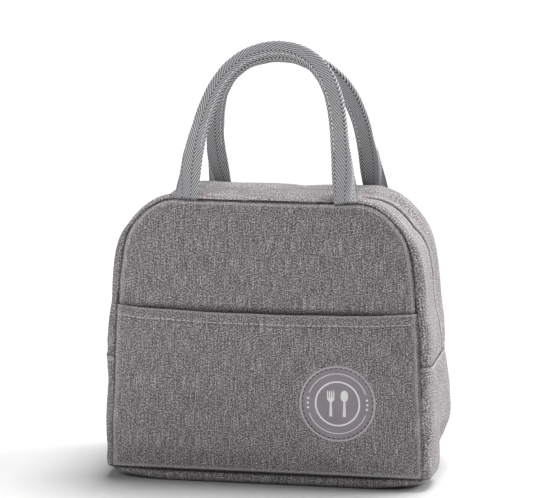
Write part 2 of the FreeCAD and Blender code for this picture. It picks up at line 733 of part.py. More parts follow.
for item in doc.Objects:
    if "Invalid" in item.State or "Error" in item.State:
        raise RuntimeError(f"{item.Label} failed: {item.State} {item.getStatusString()}")
for item in sub_parts:
    if item.Shape.isNull() or not item.Shape.isValid():
        raise RuntimeError(f"{item.Label} has no valid shape")

os.makedirs("parts", exist_ok=True)
for item in sub_parts:
    item.Shape.exportStep(f"parts/{item.Label}.step")
    print(f"{item.Label:26s} {len(item.Shape.Solids)} solids {item.Shape.Volume / 1000:9.2f} cm3")
print(len(sub_parts), "sub-parts")
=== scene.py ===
"""Soft insulated lunch bag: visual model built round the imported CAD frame.

The script works in millimetres and turns them into metres where a mesh is made. Every wall of the bag is a
grid of points, sewn to its neighbours along the seams that the CAD gives.
"""
import math

import bpy
import numpy as np
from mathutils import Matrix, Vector


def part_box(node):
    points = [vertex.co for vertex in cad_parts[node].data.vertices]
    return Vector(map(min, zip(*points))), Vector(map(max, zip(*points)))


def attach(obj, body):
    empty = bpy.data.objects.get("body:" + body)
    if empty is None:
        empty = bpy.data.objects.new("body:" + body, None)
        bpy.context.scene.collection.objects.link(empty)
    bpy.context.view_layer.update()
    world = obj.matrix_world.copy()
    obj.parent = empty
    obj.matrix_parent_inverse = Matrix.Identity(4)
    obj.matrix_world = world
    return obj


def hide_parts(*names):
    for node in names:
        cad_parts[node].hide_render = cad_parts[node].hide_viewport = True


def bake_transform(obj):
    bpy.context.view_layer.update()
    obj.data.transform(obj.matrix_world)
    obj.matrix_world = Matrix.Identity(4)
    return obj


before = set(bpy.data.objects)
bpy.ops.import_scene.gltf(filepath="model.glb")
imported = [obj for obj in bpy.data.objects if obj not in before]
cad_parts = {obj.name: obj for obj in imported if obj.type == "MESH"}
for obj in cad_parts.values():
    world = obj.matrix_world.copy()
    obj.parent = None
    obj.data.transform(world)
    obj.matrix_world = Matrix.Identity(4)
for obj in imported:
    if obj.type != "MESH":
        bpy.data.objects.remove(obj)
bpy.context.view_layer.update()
MM = 0.001


def low(node):
    return np.array(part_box(node)[0]) / MM


def high(node):
    return np.array(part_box(node)[1]) / MM


# ------------------------------------------------------------------ sizes from the frame
SEAM_Y = -low("front_panel")[1]            # front and back seams stand this far from the middle
TOP = high("front_panel")[2]
BOTTOM_SEAM = low("lower_front_panel")[2] - 1.5
ZIP_END = low("gusset_feet")[2]
SPLIT = high("lower_front_panel")[2]
POCKET_TOP = high("pocket_upper")[2]
HALF_BASE = high("lower_front_panel")[0]
BADGE = (low("badge") + high("badge")) / 2
BADGE_RADIUS = (high("badge")[0] - low("badge")[0]) / 2
HALF_GAP = -high("front_gusset")[1]

SHOULDER = 170                             # height where the rows of a panel start to close up
WAVE_COUNT = 14


# ------------------------------------------------------------------ small helpers
def smooth(low_edge, high_edge, value):
    t = np.clip((np.asarray(value, float) - low_edge) / (high_edge - low_edge), 0, 1)
    return t * t * (3 - 2 * t)


def bell(value, centre, width):
    return np.exp(-(((np.asarray(value, float) - centre) / width) ** 2))


def unit(vectors):
    return vectors / np.linalg.norm(vectors, axis=1)[:, None]


def run_length(points):
    """Length along a line of points, from its start."""
    return np.concatenate([[0], np.cumsum(np.linalg.norm(np.diff(points, axis=0), axis=1))])


def soften(line, times):
    """Evens out a line of points or numbers in place, with its ends held."""
    for _ in range(times):
        line[1:-1] = line[1:-1] * 0.5 + (line[:-2] + line[2:]) * 0.25


def waves(seed, x, y, scale):
    """A smooth seeded unevenness between about -1 and 1, the same at each run."""
    rng = np.random.default_rng(seed)
    total = np.zeros(np.broadcast(x, y).shape)
    for _ in range(WAVE_COUNT):
        angle = rng.uniform(0, math.tau)
        k = math.tau / (scale * rng.uniform(0.6, 1.7))
        total += np.sin(k * (np.cos(angle) * x + np.sin(angle) * y) + rng.uniform(0, math.tau))
    return total / math.sqrt(WAVE_COUNT)


def mesh_object(name, points, faces, uv=None, values=None, smooth_shading=True):
    mesh = bpy.data.meshes.new(name)
    mesh.from_pydata((np.asarray(points, float) * MM).tolist(), [], [tuple(int(i) for i in f) for f in faces])
    if uv is not None:
        layer = mesh.uv_layers.new(name="cloth")
        index = np.zeros(len(mesh.loops), int)
        mesh.loops.foreach_get("vertex_index", index)
        layer.data.foreach_set("uv", (np.asarray(uv, float)[index] / 100).astype(np.float32).ravel())
    for key, data in (values or {}).items():
        layer = mesh.attributes.new(key, "FLOAT", "POINT")
        layer.data.foreach_set("value", np.asarray(data, np.float32).ravel())
    if smooth_shading:
        mesh.polygons.foreach_set("use_smooth", [True] * len(mesh.polygons))
    mesh.update()
    piece = bpy.data.objects.new(name, mesh)
    bpy.context.scene.collection.objects.link(piece)
    return piece


def grid_faces(rows, columns, closed=False, flip=False, start=0):
    faces = []
    span = columns if closed else columns - 1
    for r in range(rows - 1):
        for c in range(span):
            a, b = r * columns + c, r * columns + (c + 1) % columns
            face = (a, b, b + columns, a + columns)
            faces.append(tuple(start + i for i in (face[::-1] if flip else face)))
    return faces


def grid_object(name, points, uv=None, values=None, flip=False, closed=False):
    """points is rows x columns x 3."""
    rows, columns = points.shape[:2]
    flat_values = {key: np.broadcast_to(data, (rows, columns)).ravel() for key, data in (values or {}).items()}
    flat_uv = None if uv is None else np.stack([np.broadcast_to(u, (rows, columns)) for u in uv], -1).reshape(-1, 2)
    return mesh_object(name, points.reshape(-1, 3), grid_faces(rows, columns, closed, flip), flat_uv, flat_values)


def apply_modifiers(piece):
    bpy.context.view_layer.update()
    graph = bpy.context.evaluated_depsgraph_get()
    mesh = bpy.data.meshes.new_from_object(piece.evaluated_get(graph), preserve_all_data_layers=True, depsgraph=graph)
    piece.modifiers.clear()
    piece.data = mesh
    return piece


def thicken(piece, thickness, offset=-1.0):
    made = piece.modifiers.new("thick", "SOLIDIFY")
    made.thickness = thickness * MM
    made.offset = offset
    made.use_even_offset = False
    return apply_modifiers(piece)


def join(name, pieces):
    with bpy.context.temp_override(active_object=pieces[0], selected_editable_objects=pieces):
        bpy.ops.object.join()
    pieces[0].name = name
    return pieces[0]


# ------------------------------------------------------------------ materials
def material(name, colour, roughness, metallic=0.0, sheen=0.0, specular=0.3):
    made = bpy.data.materials.new(name)
    made.use_nodes = True
    shader = made.node_tree.nodes["Principled BSDF"]
    shader.inputs["Base Color"].default_value = (*colour, 1)
    shader.inputs["Roughness"].default_value = roughness
    shader.inputs["Metallic"].default_value = metallic
    shader.inputs["Sheen Weight"].default_value = sheen
    shader.inputs["Specular IOR Level"].default_value = specular
    return made


class Nodes:
    """Short names for the nodes of one material."""

    def __init__(self, made):
        self.tree = made.node_tree
        self.shader = self.tree.nodes["Principled BSDF"]

    def new(self, kind, **settings):
        node = self.tree.nodes.new(kind)
        for key, value in settings.items():
            setattr(node, key, value)
        return node

    def link(self, source, target):
        self.tree.links.new(source, target)

    def feed(self, socket, value):
        if isinstance(value, (int, float, tuple)):
            socket.default_value = value
        else:
            self.link(value, socket)

    def math(self, operation, a, b=0.0, clamp=False):
        node = self.new("ShaderNodeMath", operation=operation, use_clamp=clamp)
        self.feed(node.inputs[0], a)
        self.feed(node.inputs[1], b)
        return node.outputs[0]

    def swing(self, value, gain):
        """How far a noise is from its middle, times gain."""
        return self.math("MULTIPLY", self.math("SUBTRACT", value, 0.5), gain)

    def cloth(self):
        return self.new("ShaderNodeUVMap", uv_map="cloth").outputs[0]

    def stretched(self, coordinates, x, y, z=1.0):
        node = self.new("ShaderNodeVectorMath", operation="MULTIPLY")
        self.link(coordinates, node.inputs[0])
        node.inputs[1].default_value = (x, y, z)
        return node.outputs[0]

    def noise(self, coordinates, scale, detail=2.0, roughness=0.5):
        node = self.new("ShaderNodeTexNoise")
        self.link(coordinates, node.inputs["Vector"])
        node.inputs["Scale"].default_value = scale
        node.inputs["Detail"].default_value = detail
        node.inputs["Roughness"].default_value = roughness
        return node.outputs["Fac"]

    def between(self, value, low_in, high_in, low_out=0.0, high_out=1.0):
        node = self.new("ShaderNodeMapRange", clamp=True)
        self.link(value, node.inputs[0])
        for index, number in enumerate((low_in, high_in, low_out, high_out), start=1):
            node.inputs[index].default_value = number
        return node.outputs[0]

    def mix(self, factor, a, b, blend="MIX"):
        node = self.new("ShaderNodeMix", data_type="RGBA", blend_type=blend)
        self.feed(node.inputs["Factor"], factor)
        for socket, value in ((node.inputs["A"], a), (node.inputs["B"], b)):
            if isinstance(value, tuple):
                socket.default_value = (*value, 1)
            else:
                self.link(value, socket)
        return node.outputs["Result"]

    def bump(self, height, strength, distance):
        node = self.new("ShaderNodeBump")
        node.inputs["Strength"].default_value = strength
        node.inputs["Distance"].default_value = distance
        self.link(height, node.inputs["Height"])
        self.link(node.outputs[0], self.shader.inputs["Normal"])

    def attribute(self, name):
        return self.new("ShaderNodeAttribute", attribute_name=name).outputs["Fac"]


def fabric_material(name, dark, middle, light):
    """Melange polyester: dark and light fibres, long pale slubs along the warp, a plain weave, with painted highlights
    on fold edges and painted shade in seams and folds.

    One unit of the cloth's own coordinates is 100 mm."""
    made = material(name, middle, 0.9, sheen=0.12, specular=0.15)
    n = Nodes(made)
    n.shader.inputs["Sheen Roughness"].default_value = 0.5
    cloth = n.cloth()
    fibre = n.noise(n.stretched(cloth, 128, 100), 1.0, 1.5, 0.6)
    weft = n.noise(n.stretched(cloth, 30, 170), 1.0, 1.0)
    slub = n.noise(n.stretched(cloth, 170, 7), 1.0, 2.0, 0.55)
    patch = n.noise(n.stretched(cloth, 14, 7), 1.0, 2.0)
    sum_of = n.math("ADD", n.swing(fibre, 3.2), n.swing(weft, 0.9))
    sum_of = n.math("ADD", sum_of, n.swing(patch, 0.15))
    sum_of = n.math("ADD", sum_of, n.swing(slub, 1.3))
    body = n.mix(n.between(sum_of, -0.62, 0.0), dark, middle)
    body = n.mix(n.between(sum_of, 0.0, 0.75), body, light)
    streak = n.between(slub, 0.63, 0.80)
    body = n.mix(n.math("MULTIPLY", streak, 0.5), body, light)
    # painted highlight: the edge attribute lightens rolled and folded edges where they catch the light
    body = n.mix(n.math("MULTIPLY", n.attribute("edge"), 0.8), body, light)
    # painted shade: this attribute darkens seam grooves, fold gaps and contact lines towards near black
    body = n.mix(n.attribute("painted_shade"), body, tuple(c * 0.12 for c in dark))
    n.link(body, n.shader.inputs["Base Color"])
    warp = n.new("ShaderNodeTexWave", wave_type="BANDS", bands_direction="X")
    n.link(n.stretched(cloth, 1, 1), warp.inputs["Vector"])
    warp.inputs["Scale"].default_value = 62
    weft_wave = n.new("ShaderNodeTexWave", wave_type="BANDS", bands_direction="Y")
    n.link(n.stretched(cloth, 1, 1), weft_wave.inputs["Vector"])
    weft_wave.inputs["Scale"].default_value = 55
    weave = n.math("MULTIPLY", warp.outputs["Fac"], weft_wave.outputs["Fac"])
    height = n.math("ADD", n.math("MULTIPLY", weave, 0.5), n.math("ADD", fibre, slub))
    n.bump(height, 0.55, 0.0004)
    return made


def webbing_material(name, dark, light):
    """Herringbone webbing. The relief is in the mesh, and rib says how high each point of it stands."""
    made = material(name, light, 0.75, sheen=0.1, specular=0.3)
    n = Nodes(made)
    rib = n.attribute("rib")
    yarn = n.noise(n.stretched(n.cloth(), 120, 120), 1.0, 2.0, 0.6)
    level = n.math("ADD", rib, n.swing(yarn, 0.55))
    body = n.mix(n.between(level, 0.2, 0.8), dark, light)
    # painted shade: darkens the webbing where it goes into the seam
    body = n.mix(n.attribute("painted_shade"), body, tuple(c * 0.2 for c in dark))
    n.link(body, n.shader.inputs["Base Color"])
    n.bump(yarn, 0.5, 0.0002)
    return made


def foil_material(name):
    made = material(name, (0.74, 0.75, 0.77), 0.34, metallic=0.85, specular=0.5)
    n = Nodes(made)
    cloth = n.cloth()
    grid = n.new("ShaderNodeTexVoronoi", feature="F1")
    n.link(cloth, grid.inputs["Vector"])
    grid.inputs["Scale"].default_value = 14
    ripple = n.noise(n.stretched(cloth, 9, 9), 1.0, 3.0, 0.55)
    n.link(n.mix(n.between(ripple, 0.3, 0.7), (0.66, 0.67, 0.69), (0.80, 0.81, 0.83)), n.shader.inputs["Base Color"])
    n.link(n.between(ripple, 0.3, 0.7, 0.28, 0.42), n.shader.inputs["Roughness"])
    n.bump(n.math("ADD", ripple, n.math("MULTIPLY", grid.outputs["Distance"], 0.6)), 0.5, 0.0012)
    return made


def leather_material(name, colour, rim):
    made = material(name, colour, 0.46, specular=0.4)
    n = Nodes(made)
    place = n.new("ShaderNodeTexCoord").outputs["Object"]
    cells = n.new("ShaderNodeTexVoronoi", feature="F1")
    n.link(place, cells.inputs["Vector"])
    cells.inputs["Scale"].default_value = 1500
    cloud = n.noise(place, 60, 3.0)
    body = n.mix(n.between(cloud, 0.3, 0.7), tuple(c * 0.9 for c in colour), tuple(c * 1.08 for c in colour))
    body = n.mix(n.attribute("rim"), body, rim)
    n.link(body, n.shader.inputs["Base Color"])
    n.link(n.between(cloud, 0.3, 0.7, 0.40, 0.55), n.shader.inputs["Roughness"])
    n.bump(cells.outputs["Distance"], 0.25, 0.0002)
    return made


def plain_material(name, colour, roughness, scale, metallic=0.0, spread=0.12, depth=0.0001):
    """A simple finish with grain: small changes of colour, roughness and height."""
    made = material(name, colour, roughness, metallic=metallic)
    n = Nodes(made)
    place = n.new("ShaderNodeTexCoord").outputs["Object"]
    grain = n.noise(place, scale, 3.0, 0.6)
    darker, lighter = (tuple(min(1.0, c * (1 + s)) for c in colour) for s in (-spread, spread))
    n.link(n.mix(n.between(grain, 0.3, 0.7), darker, lighter), n.shader.inputs["Base Color"])
    n.link(n.between(grain, 0.3, 0.7, roughness * 0.88, roughness * 1.12), n.shader.inputs["Roughness"])
    n.bump(grain, 0.4, depth)
    return made


FABRIC = fabric_material("melange_fabric", (0.054, 0.049, 0.051), (0.204, 0.190, 0.195), (0.74, 0.71, 0.715))
WEBBING = webbing_material("herringbone_webbing", (0.07, 0.07, 0.074), (0.56, 0.56, 0.58))
FOIL = foil_material("foil_lining")
LEATHER = leather_material("badge_leather", (0.30, 0.268, 0.29), (0.50, 0.47, 0.50))
BINDING = plain_material("binding_tape", (0.05, 0.05, 0.055), 0.8, 1800)
TAPE = plain_material("zip_tape", (0.05, 0.048, 0.052), 0.85, 2600, depth=0.0002)
TEETH = plain_material("zip_coil", (0.10, 0.10, 0.105), 0.4, 900)
DARK_THREAD = plain_material("badge_thread", (0.045, 0.04, 0.045), 0.7, 3000)
PALE_THREAD = plain_material("pale_thread", (0.72, 0.69, 0.69), 0.75, 3000)
PRINT = plain_material("badge_print", (0.86, 0.86, 0.87), 0.5, 800, spread=0.03)
METAL = plain_material("slider_metal", (0.42, 0.42, 0.44), 0.34, 700, metallic=1.0)


def dress(piece, made):
    piece.data.materials.clear()
    piece.data.materials.append(made)
    return piece


def bend(piece):
    """Bakes a piece's placement into its mesh."""
    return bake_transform(piece)


# ------------------------------------------------------------------ outline of the sewn panels
OUTLINE_TOP = 210.0
OUTLINE_HEIGHTS = [0, 28, 44, 69, 93, 113, 131, 153, 171, 178, 183, 188, 192, 196, 200, 203, 206, 208.5, 210]
OUTLINE_INSETS = [0, 0, 0.3, 2.0, 2.8, 3.4, 5.0, 6.8, 9.2, 10.8, 12.4, 15.2, 18.2, 21.6, 25.6, 29.2, 33.8, 39.6, 47]


def half_width(z):
    """Half the width of the panel between its seams."""
    scaled = np.asarray(z, float) * (OUTLINE_TOP / TOP)
    return HALF_BASE - 0.5 - np.interp(scaled, OUTLINE_HEIGHTS, OUTLINE_INSETS)


def panel_heights(low_count=76, high_count=34):
    """Heights of the rows of a panel, closer together round the top corners."""
    low_part = np.linspace(BOTTOM_SEAM, SHOULDER, low_count)
    high_part = TOP - (TOP - SHOULDER) * (1 - np.linspace(0, 1, high_count)[1:]) ** 1.6
    return np.concatenate([low_part, high_part])


def outline_path(step=1.6):
    """The seam line from the bottom left, over the top, to the bottom right, evenly spaced, with its normals."""
    z = panel_heights(60, 60)
    right = np.stack([half_width(z), z], 1)
    left = right * [-1, 1]
    points = np.concatenate([left, right[::-1]])
    length = run_length(points)
    count = int(length[-1] / step)
    s = np.linspace(0, length[-1], count)
    path = np.stack([np.interp(s, length, points[:, k]) for k in (0, 1)], 1)
    soften(path, 10)
    tangent = unit(np.gradient(path, axis=0))
    normal = np.stack([-tangent[:, 1], tangent[:, 0]], 1)
    return path, normal, s


PATH, NORMAL, LENGTH = outline_path()
NORMAL3 = np.stack([NORMAL[:, 0], np.zeros(len(NORMAL)), NORMAL[:, 1]], -1)
ZIP_INDEX = np.nonzero(PATH[:, 1] >= ZIP_END - 0.8)[0]
SIDE_INDEX = np.nonzero((PATH[:, 1] <= ZIP_END + 0.3) & (PATH[:, 0] < 0))[0]
BACK_SAG = 7.5


def sag(z, y, x):
    """The top falls towards the back, and its back corners a little more."""
    slope = BACK_SAG * smooth(100, 212, z) * np.clip((y + SEAM_Y) / (2 * SEAM_Y), 0, 1)
    return slope + 3.4 * smooth(45, 85, np.abs(x)) * smooth(130, 190, z) * smooth(10, SEAM_Y, y)


def narrow(y, z):
    """The bag is a little narrower at its back, most of all at the base and at the top corners."""
    low_end = 0.14 * smooth(42, 3, z) * smooth(-12, SEAM_Y, y)
    return 1 - low_end - smooth(0, SEAM_Y, y) * (0.026 + 0.015 * smooth(140, 185, z))


def edge_distance(x, z):
    """Distance from the seams of a panel, its bottom seam too."""
    points = np.stack([x.ravel(), z.ravel()], 1)
    nearest = np.full(len(points), 1e9)
    for start in range(0, len(PATH) - 1, 4):
        a, b = PATH[start], PATH[min(start + 4, len(PATH) - 1)]
        d = b - a
        t = np.clip(((points - a) @ d) / (d @ d), 0, 1)
        nearest = np.minimum(nearest, np.linalg.norm(points - a - t[:, None] * d, axis=1))
    return np.minimum(nearest, points[:, 1] - BOTTOM_SEAM).reshape(x.shape)


def rim(distance):
    """How far a panel stands off its seam, by the distance from the seam: a rolled edge, then the pad."""
    rolled = np.sqrt(np.clip(1 - (1 - np.clip(distance / 2.0, 0, 1)) ** 2, 0, 1))
    return -1.6 + 2.3 * rolled - 0.35 * bell(distance, 5.0, 2.2)


def panel_depth(x, z):
    """How far forward of the seam plane the front panel stands."""
    d = edge_distance(x, z)
    crown = 2.2 * smooth(2, 46, d)
    uneven = 0.35 * waves(3, x, z, 70) * smooth(6, 40, d) + 0.12 * waves(4, x, z, 22) * smooth(3, 20, d)
    return rim(d) + crown + uneven, d


def pocket_depth(x, z):
    """How far forward of the seam plane the outer face of the pocket stands."""
    d = edge_distance(x, z)
    mouth = smooth(POCKET_TOP - 60, POCKET_TOP, z)
    side = half_width(z) - np.abs(x)
    stand = (3.4 + 0.9 * mouth) * smooth(1.0, 34, np.minimum(side, d * 1.2))
    uneven = 0.3 * waves(5, x, z, 60) * smooth(6, 40, d) + 0.12 * waves(6, x, z, 20) * smooth(3, 20, d)
    return rim(d) + 0.9 + stand + uneven, d


# ------------------------------------------------------------------ cloth pass
CLOTH_GRID = 5.0
CLOTH_PRESSURE = 4.0
CLOTH_FRAMES = 20


def settle(points, flip, cap):
    """Lets a wall of the bag find its shape as cloth under a little pressure, sewn down at its edges.

    The wall is simulated as an even grid, and what it moved is added to the fine points."""
    scene = bpy.context.scene
    rows, columns = points.shape[:2]
    tall = np.linalg.norm(np.diff(points[:, columns // 2], axis=0), axis=1).sum()
    wide = np.linalg.norm(np.diff(points[rows // 2], axis=0), axis=1).sum()
    r = np.linspace(0, rows - 1, max(6, int(tall / CLOTH_GRID)))
    c = np.linspace(0, columns - 1, max(6, int(wide / CLOTH_GRID)))
    coarse = np.stack([resample(resample(points[..., k], r, 0), c, 1) for k in range(3)], -1)
    count = coarse.shape[1]
    sheet = mesh_object("settling", coarse.reshape(-1, 3), grid_faces(len(r), count, flip=flip))
    edge = sheet.vertex_groups.new(name="seam")
    edge.add([i * count + j for i in range(len(r)) for j in range(count)
              if i in (0, len(r) - 1) or j in (0, count - 1)], 1.0, "ADD")
    cloth = sheet.modifiers.new("cloth", "CLOTH")
    cloth.settings.quality = 6
    cloth.settings.mass = 0.3
    cloth.settings.bending_stiffness = 0.4
    cloth.settings.vertex_group_mass = "seam"
    cloth.settings.use_pressure = True
    cloth.settings.uniform_pressure_force = CLOTH_PRESSURE
    cloth.settings.effector_weights.gravity = 0.0
    cloth.settings.shrink_min = -0.012
    cloth.point_cache.frame_start, cloth.point_cache.frame_end = 1, CLOTH_FRAMES
    for number in range(1, CLOTH_FRAMES + 1):
        scene.frame_set(number)
    settled = sheet.evaluated_get(bpy.context.evaluated_depsgraph_get()).data
    moved = np.zeros(len(settled.vertices) * 3)
    settled.vertices.foreach_get("co", moved)
    moved = moved.reshape(coarse.shape) / MM - coarse
    mesh = sheet.data
    bpy.data.objects.remove(sheet)
    bpy.data.meshes.remove(mesh)
    scene.frame_set(1)
    length = np.linalg.norm(moved, axis=-1)[..., None] + 1e-9
    moved *= cap * np.tanh(length / cap) / length
    at_rows = np.arange(rows) / (rows - 1) * (len(r) - 1)
    at_columns = np.arange(columns) / (columns - 1) * (count - 1)
    fine = np.stack([resample(resample(moved[..., k], at_rows, 0), at_columns, 1) for k in range(3)], -1)
    for _ in range(6):
        fine[1:-1, 1:-1] = (fine[1:-1, 1:-1] * 4 + fine[:-2, 1:-1] + fine[2:, 1:-1]
                            + fine[1:-1, :-2] + fine[1:-1, 2:]) / 8
    return points + fine


def resample(field, places, axis):
    """Values of a field between its rows (axis 0) or columns (axis 1)."""
    field = np.moveaxis(field, axis, 0)
    below = np.clip(np.floor(places).astype(int), 0, len(field) - 2)
    share = (np.asarray(places) - below)[:, None]
    return np.moveaxis(field[below] * (1 - share) + field[below + 1] * share, 0, axis)


# ------------------------------------------------------------------ front and back panels
def across(columns):
    """Places across a panel from -1 to 1, closer together near the seams."""
    t = np.linspace(-1, 1, columns)
    return np.sign(t) * (1 - (1 - np.abs(t)) ** 1.25)


def panel_grid():
    z = panel_heights()[:, None]
    x = across(101)[None, :] * half_width(z)
    return x, np.broadcast_to(z, x.shape)


def make_front():
    x, z = panel_grid()
    depth, d = panel_depth(x, z)
    points = settle(np.stack([x, -(SEAM_Y + depth), z], -1), False, cap=0.9)
    # painted shade in the seam groove and painted shadow of the pocket mouth on the panel; painted highlight on the
    # rolled edge
    painted_shade = 0.95 * smooth(1.3, 0.3, d) + 0.6 * smooth(POCKET_TOP + 2.6, POCKET_TOP - 1.5, z)
    values = {"painted_shade": np.clip(painted_shade, 0, 1), "edge": 0.5 * bell(d, 2.4, 0.9)}
    piece = grid_object("front_panel_fabric", points, (x, z), values)
    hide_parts("front_panel", "front_foam", "lower_front_panel", "lower_front_foam")
    return dress(piece, FABRIC)


def make_back():
    x, z = panel_grid()
    depth, d = panel_depth(-x, z)
    y = SEAM_Y + depth + 1.4 * smooth(10, 60, d)
    points = np.stack([x * narrow(y, z), y, z - sag(z, y, x)], -1)
    points = settle(points, True, cap=1.2)
    # painted shade in the seam groove; painted highlight on the rolled edge
    values = {"painted_shade": 0.95 * smooth(1.3, 0.3, d), "edge": 0.5 * bell(d, 2.4, 0.9)}
    piece = grid_object("back_panel_fabric", points, (x, z), values, flip=True)
    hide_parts("back_panel", "back_foam", "lower_back_panel", "lower_back_foam")
    return dress(piece, FABRIC)


# ------------------------------------------------------------------ gusset, sides and base
# How far the wall stands outside the outline, in mm: a column for each depth, front seam to back seam, and a row
# for the lower side, the zip ends, the zip's sides, the top corners and the top.
WALL_DEPTHS = [-65, -62, -59, -52, -40, -30, -15, -4, 0, 4, 15, 25, 40, 52, 60, 65]
WALL_TABLE = [
    [-1.3, 3.9, 5.7, 6.2, 6.6, 6.9, 7.4, 8.0, 8.3, 8.6, 8.9, 8.4, 6.6, 4.0, 1.6, -1.2],
    [-1.3, 5.0, 7.3, 7.8, 7.8, 7.8, 7.6, 7.4, 7.2, 7.4, 7.2, 6.4, 4.2, 2.0, 0.4, -1.5],
    [-1.3, 4.4, 6.2, 6.0, 5.4, 5.0, 4.4, 3.4, 3.0, 3.8, 5.6, 5.6, 3.4, 0.6, -0.4, -1.5],
    [-1.2, 2.2, 3.2, 2.4, 0.0, -1.6, -2.4, -2.7, -2.7, -1.4, 3.6, 5.4, 4.6, 2.2, 0.2, -1.6],
    [-1.0, 1.7, 2.9, 3.8, 4.5, 4.6, 2.8, -0.6, -1.3, -0.4, 2.4, 3.2, 2.6, 1.4, 0.2, -1.2],
]
FINE_DEPTHS = np.linspace(-SEAM_Y, SEAM_Y, 521)
FINE_TABLE = []
for row in WALL_TABLE:
    fine = np.interp(FINE_DEPTHS, np.array(WALL_DEPTHS) * SEAM_Y / 65, row)
    soften(fine, 30)
    FINE_TABLE.append(fine)
FINE_TABLE = np.array(FINE_TABLE)


def wall_bulge(y, z, x):
    """How far the wall round the bag stands outside the panel outline."""
    side = np.interp(z, [60, 92, 135], [0, 1, 2])
    corner = np.interp(np.abs(x), [50, 68, 88, 100, 108.5], [4, 3.25, 3.0, 2.9, 2.0])
    kind = np.where(z > 150, corner, side)
    low_row = np.clip(np.floor(kind).astype(int), 0, len(FINE_TABLE) - 2)
    share = smooth(0, 1, kind - low_row)
    place = np.clip((y + SEAM_Y) / (2 * SEAM_Y), 0, 1) * (len(FINE_DEPTHS) - 1)
    left = np.clip(np.floor(place).astype(int), 0, len(FINE_DEPTHS) - 2)
    part = place - left
    pick = [FINE_TABLE[row, left] * (1 - part) + FINE_TABLE[row, left + 1] * part for row in (low_row, low_row + 1)]
    return pick[0] * (1 - share) + pick[1] * share


def wall_points(index, y):
    """Points of the wall at places along the outline and at depths y."""
    path, normal = PATH[index], NORMAL[index]
    z = np.broadcast_to(path[:, 1][:, None], (len(index), len(y)))
    y = np.broadcast_to(y[None, :], z.shape)
    out = wall_bulge(y, z, np.broadcast_to(path[:, 0][:, None], z.shape))
    foot = np.where(y < -25, smooth(BOTTOM_SEAM - 22, 16, z), smooth(BOTTOM_SEAM - 2, 44, z))
    out = np.where(out > 0, out * foot, out)
    out = out + 0.25 * waves(8, LENGTH[index][:, None], y, 60) * smooth(0, 14, SEAM_Y - np.abs(y))
    x = path[:, 0][:, None] * narrow(y, z) + normal[:, 0][:, None] * out
    z_out = z + normal[:, 1][:, None] * out
    return np.stack([x, y, z_out - sag(z_out, y, x)], -1)


def inside(index, y, inset):
    """Points that lie inset within the wall."""
    return wall_points(index, y) - NORMAL3[index][:, None, :] * inset


def strip_depths(inner, outer, count, ease=1.5):
    t = np.linspace(0, 1, count)
    return outer + (inner - outer) * t ** ease


GAP = HALF_GAP + 1.0


def make_gusset(name, front):
    index = ZIP_INDEX
    depths = strip_depths(GAP, SEAM_Y, 44)
    y = -depths if front else depths
    points = wall_points(index, y)
    points = settle(points, front, cap=1.2)
    fold = smooth(GAP + 2.2, GAP, depths)[None, :]
    normal = NORMAL3[index]
    points -= normal[:, None, :] * (1.1 * fold ** 2)[..., None]
    points += normal[:, None, :] * (0.35 * bell(depths, GAP + 2.4, 1.2))[None, :, None]
    # painted shade in the front seam groove and in the zip gap; painted highlight on the folded edge at the zip
    painted_shade = 0.95 * smooth(SEAM_Y - 1.8, SEAM_Y - 0.4, depths) + 0.95 * smooth(GAP + 0.9, GAP + 0.1, depths)
    values = {"painted_shade": painted_shade[None, :], "edge": 0.7 * bell(depths, GAP + 1.7, 0.7)[None, :]}
    piece = grid_object(name, points, (y[None, :], LENGTH[index][:, None]), values, flip=front)
    return dress(piece, FABRIC)


def side_lip(z):
    """How far the turned upper edge of a side panel stands out, with the dip of its stitching below."""
    return 0.55 * bell(z, ZIP_END - 0.9, 1.3) - 0.3 * bell(z, ZIP_END - 6.5, 2.0)


def make_side(name, sign):
    depths = strip_depths(0, SEAM_Y, 40, 1.4)
    y = np.concatenate([-depths, depths[::-1][1:]])
    points = settle(wall_points(SIDE_INDEX, y), True, cap=1.4)
    z = PATH[SIDE_INDEX][:, 1]
    lip = side_lip(z)[:, None]
    crumple = 0.9 * bell(y, 20, 7)[None, :] * smooth(30, 60, z)[:, None] * smooth(90, 70, z)[:, None]
    points[:, :, 0] += -lip + crumple * 0.8
    a = np.abs(y)[None, :]
    # painted shade in the front and back seam grooves, at the bottom seam and above the turned top edge; painted
    # highlight on the turned edge
    painted_shade = 0.8 * smooth(SEAM_Y - 1.6, SEAM_Y - 0.3, a) + 0.5 * smooth(BOTTOM_SEAM + 1.2, BOTTOM_SEAM, z)[:, None]
    painted_shade = painted_shade + 0.95 * smooth(ZIP_END - 1.3, ZIP_END - 0.3, z)[:, None]
    points[:, :, 0] *= -sign
    values = {"painted_shade": np.clip(painted_shade, 0, 1), "edge": 0.6 * bell(z, ZIP_END - 2.3, 0.8)[:, None]}
    piece = grid_object(name, points, (y[None, :] * sign, z[:, None]), values, flip=sign < 0)
    return dress(piece, FABRIC)


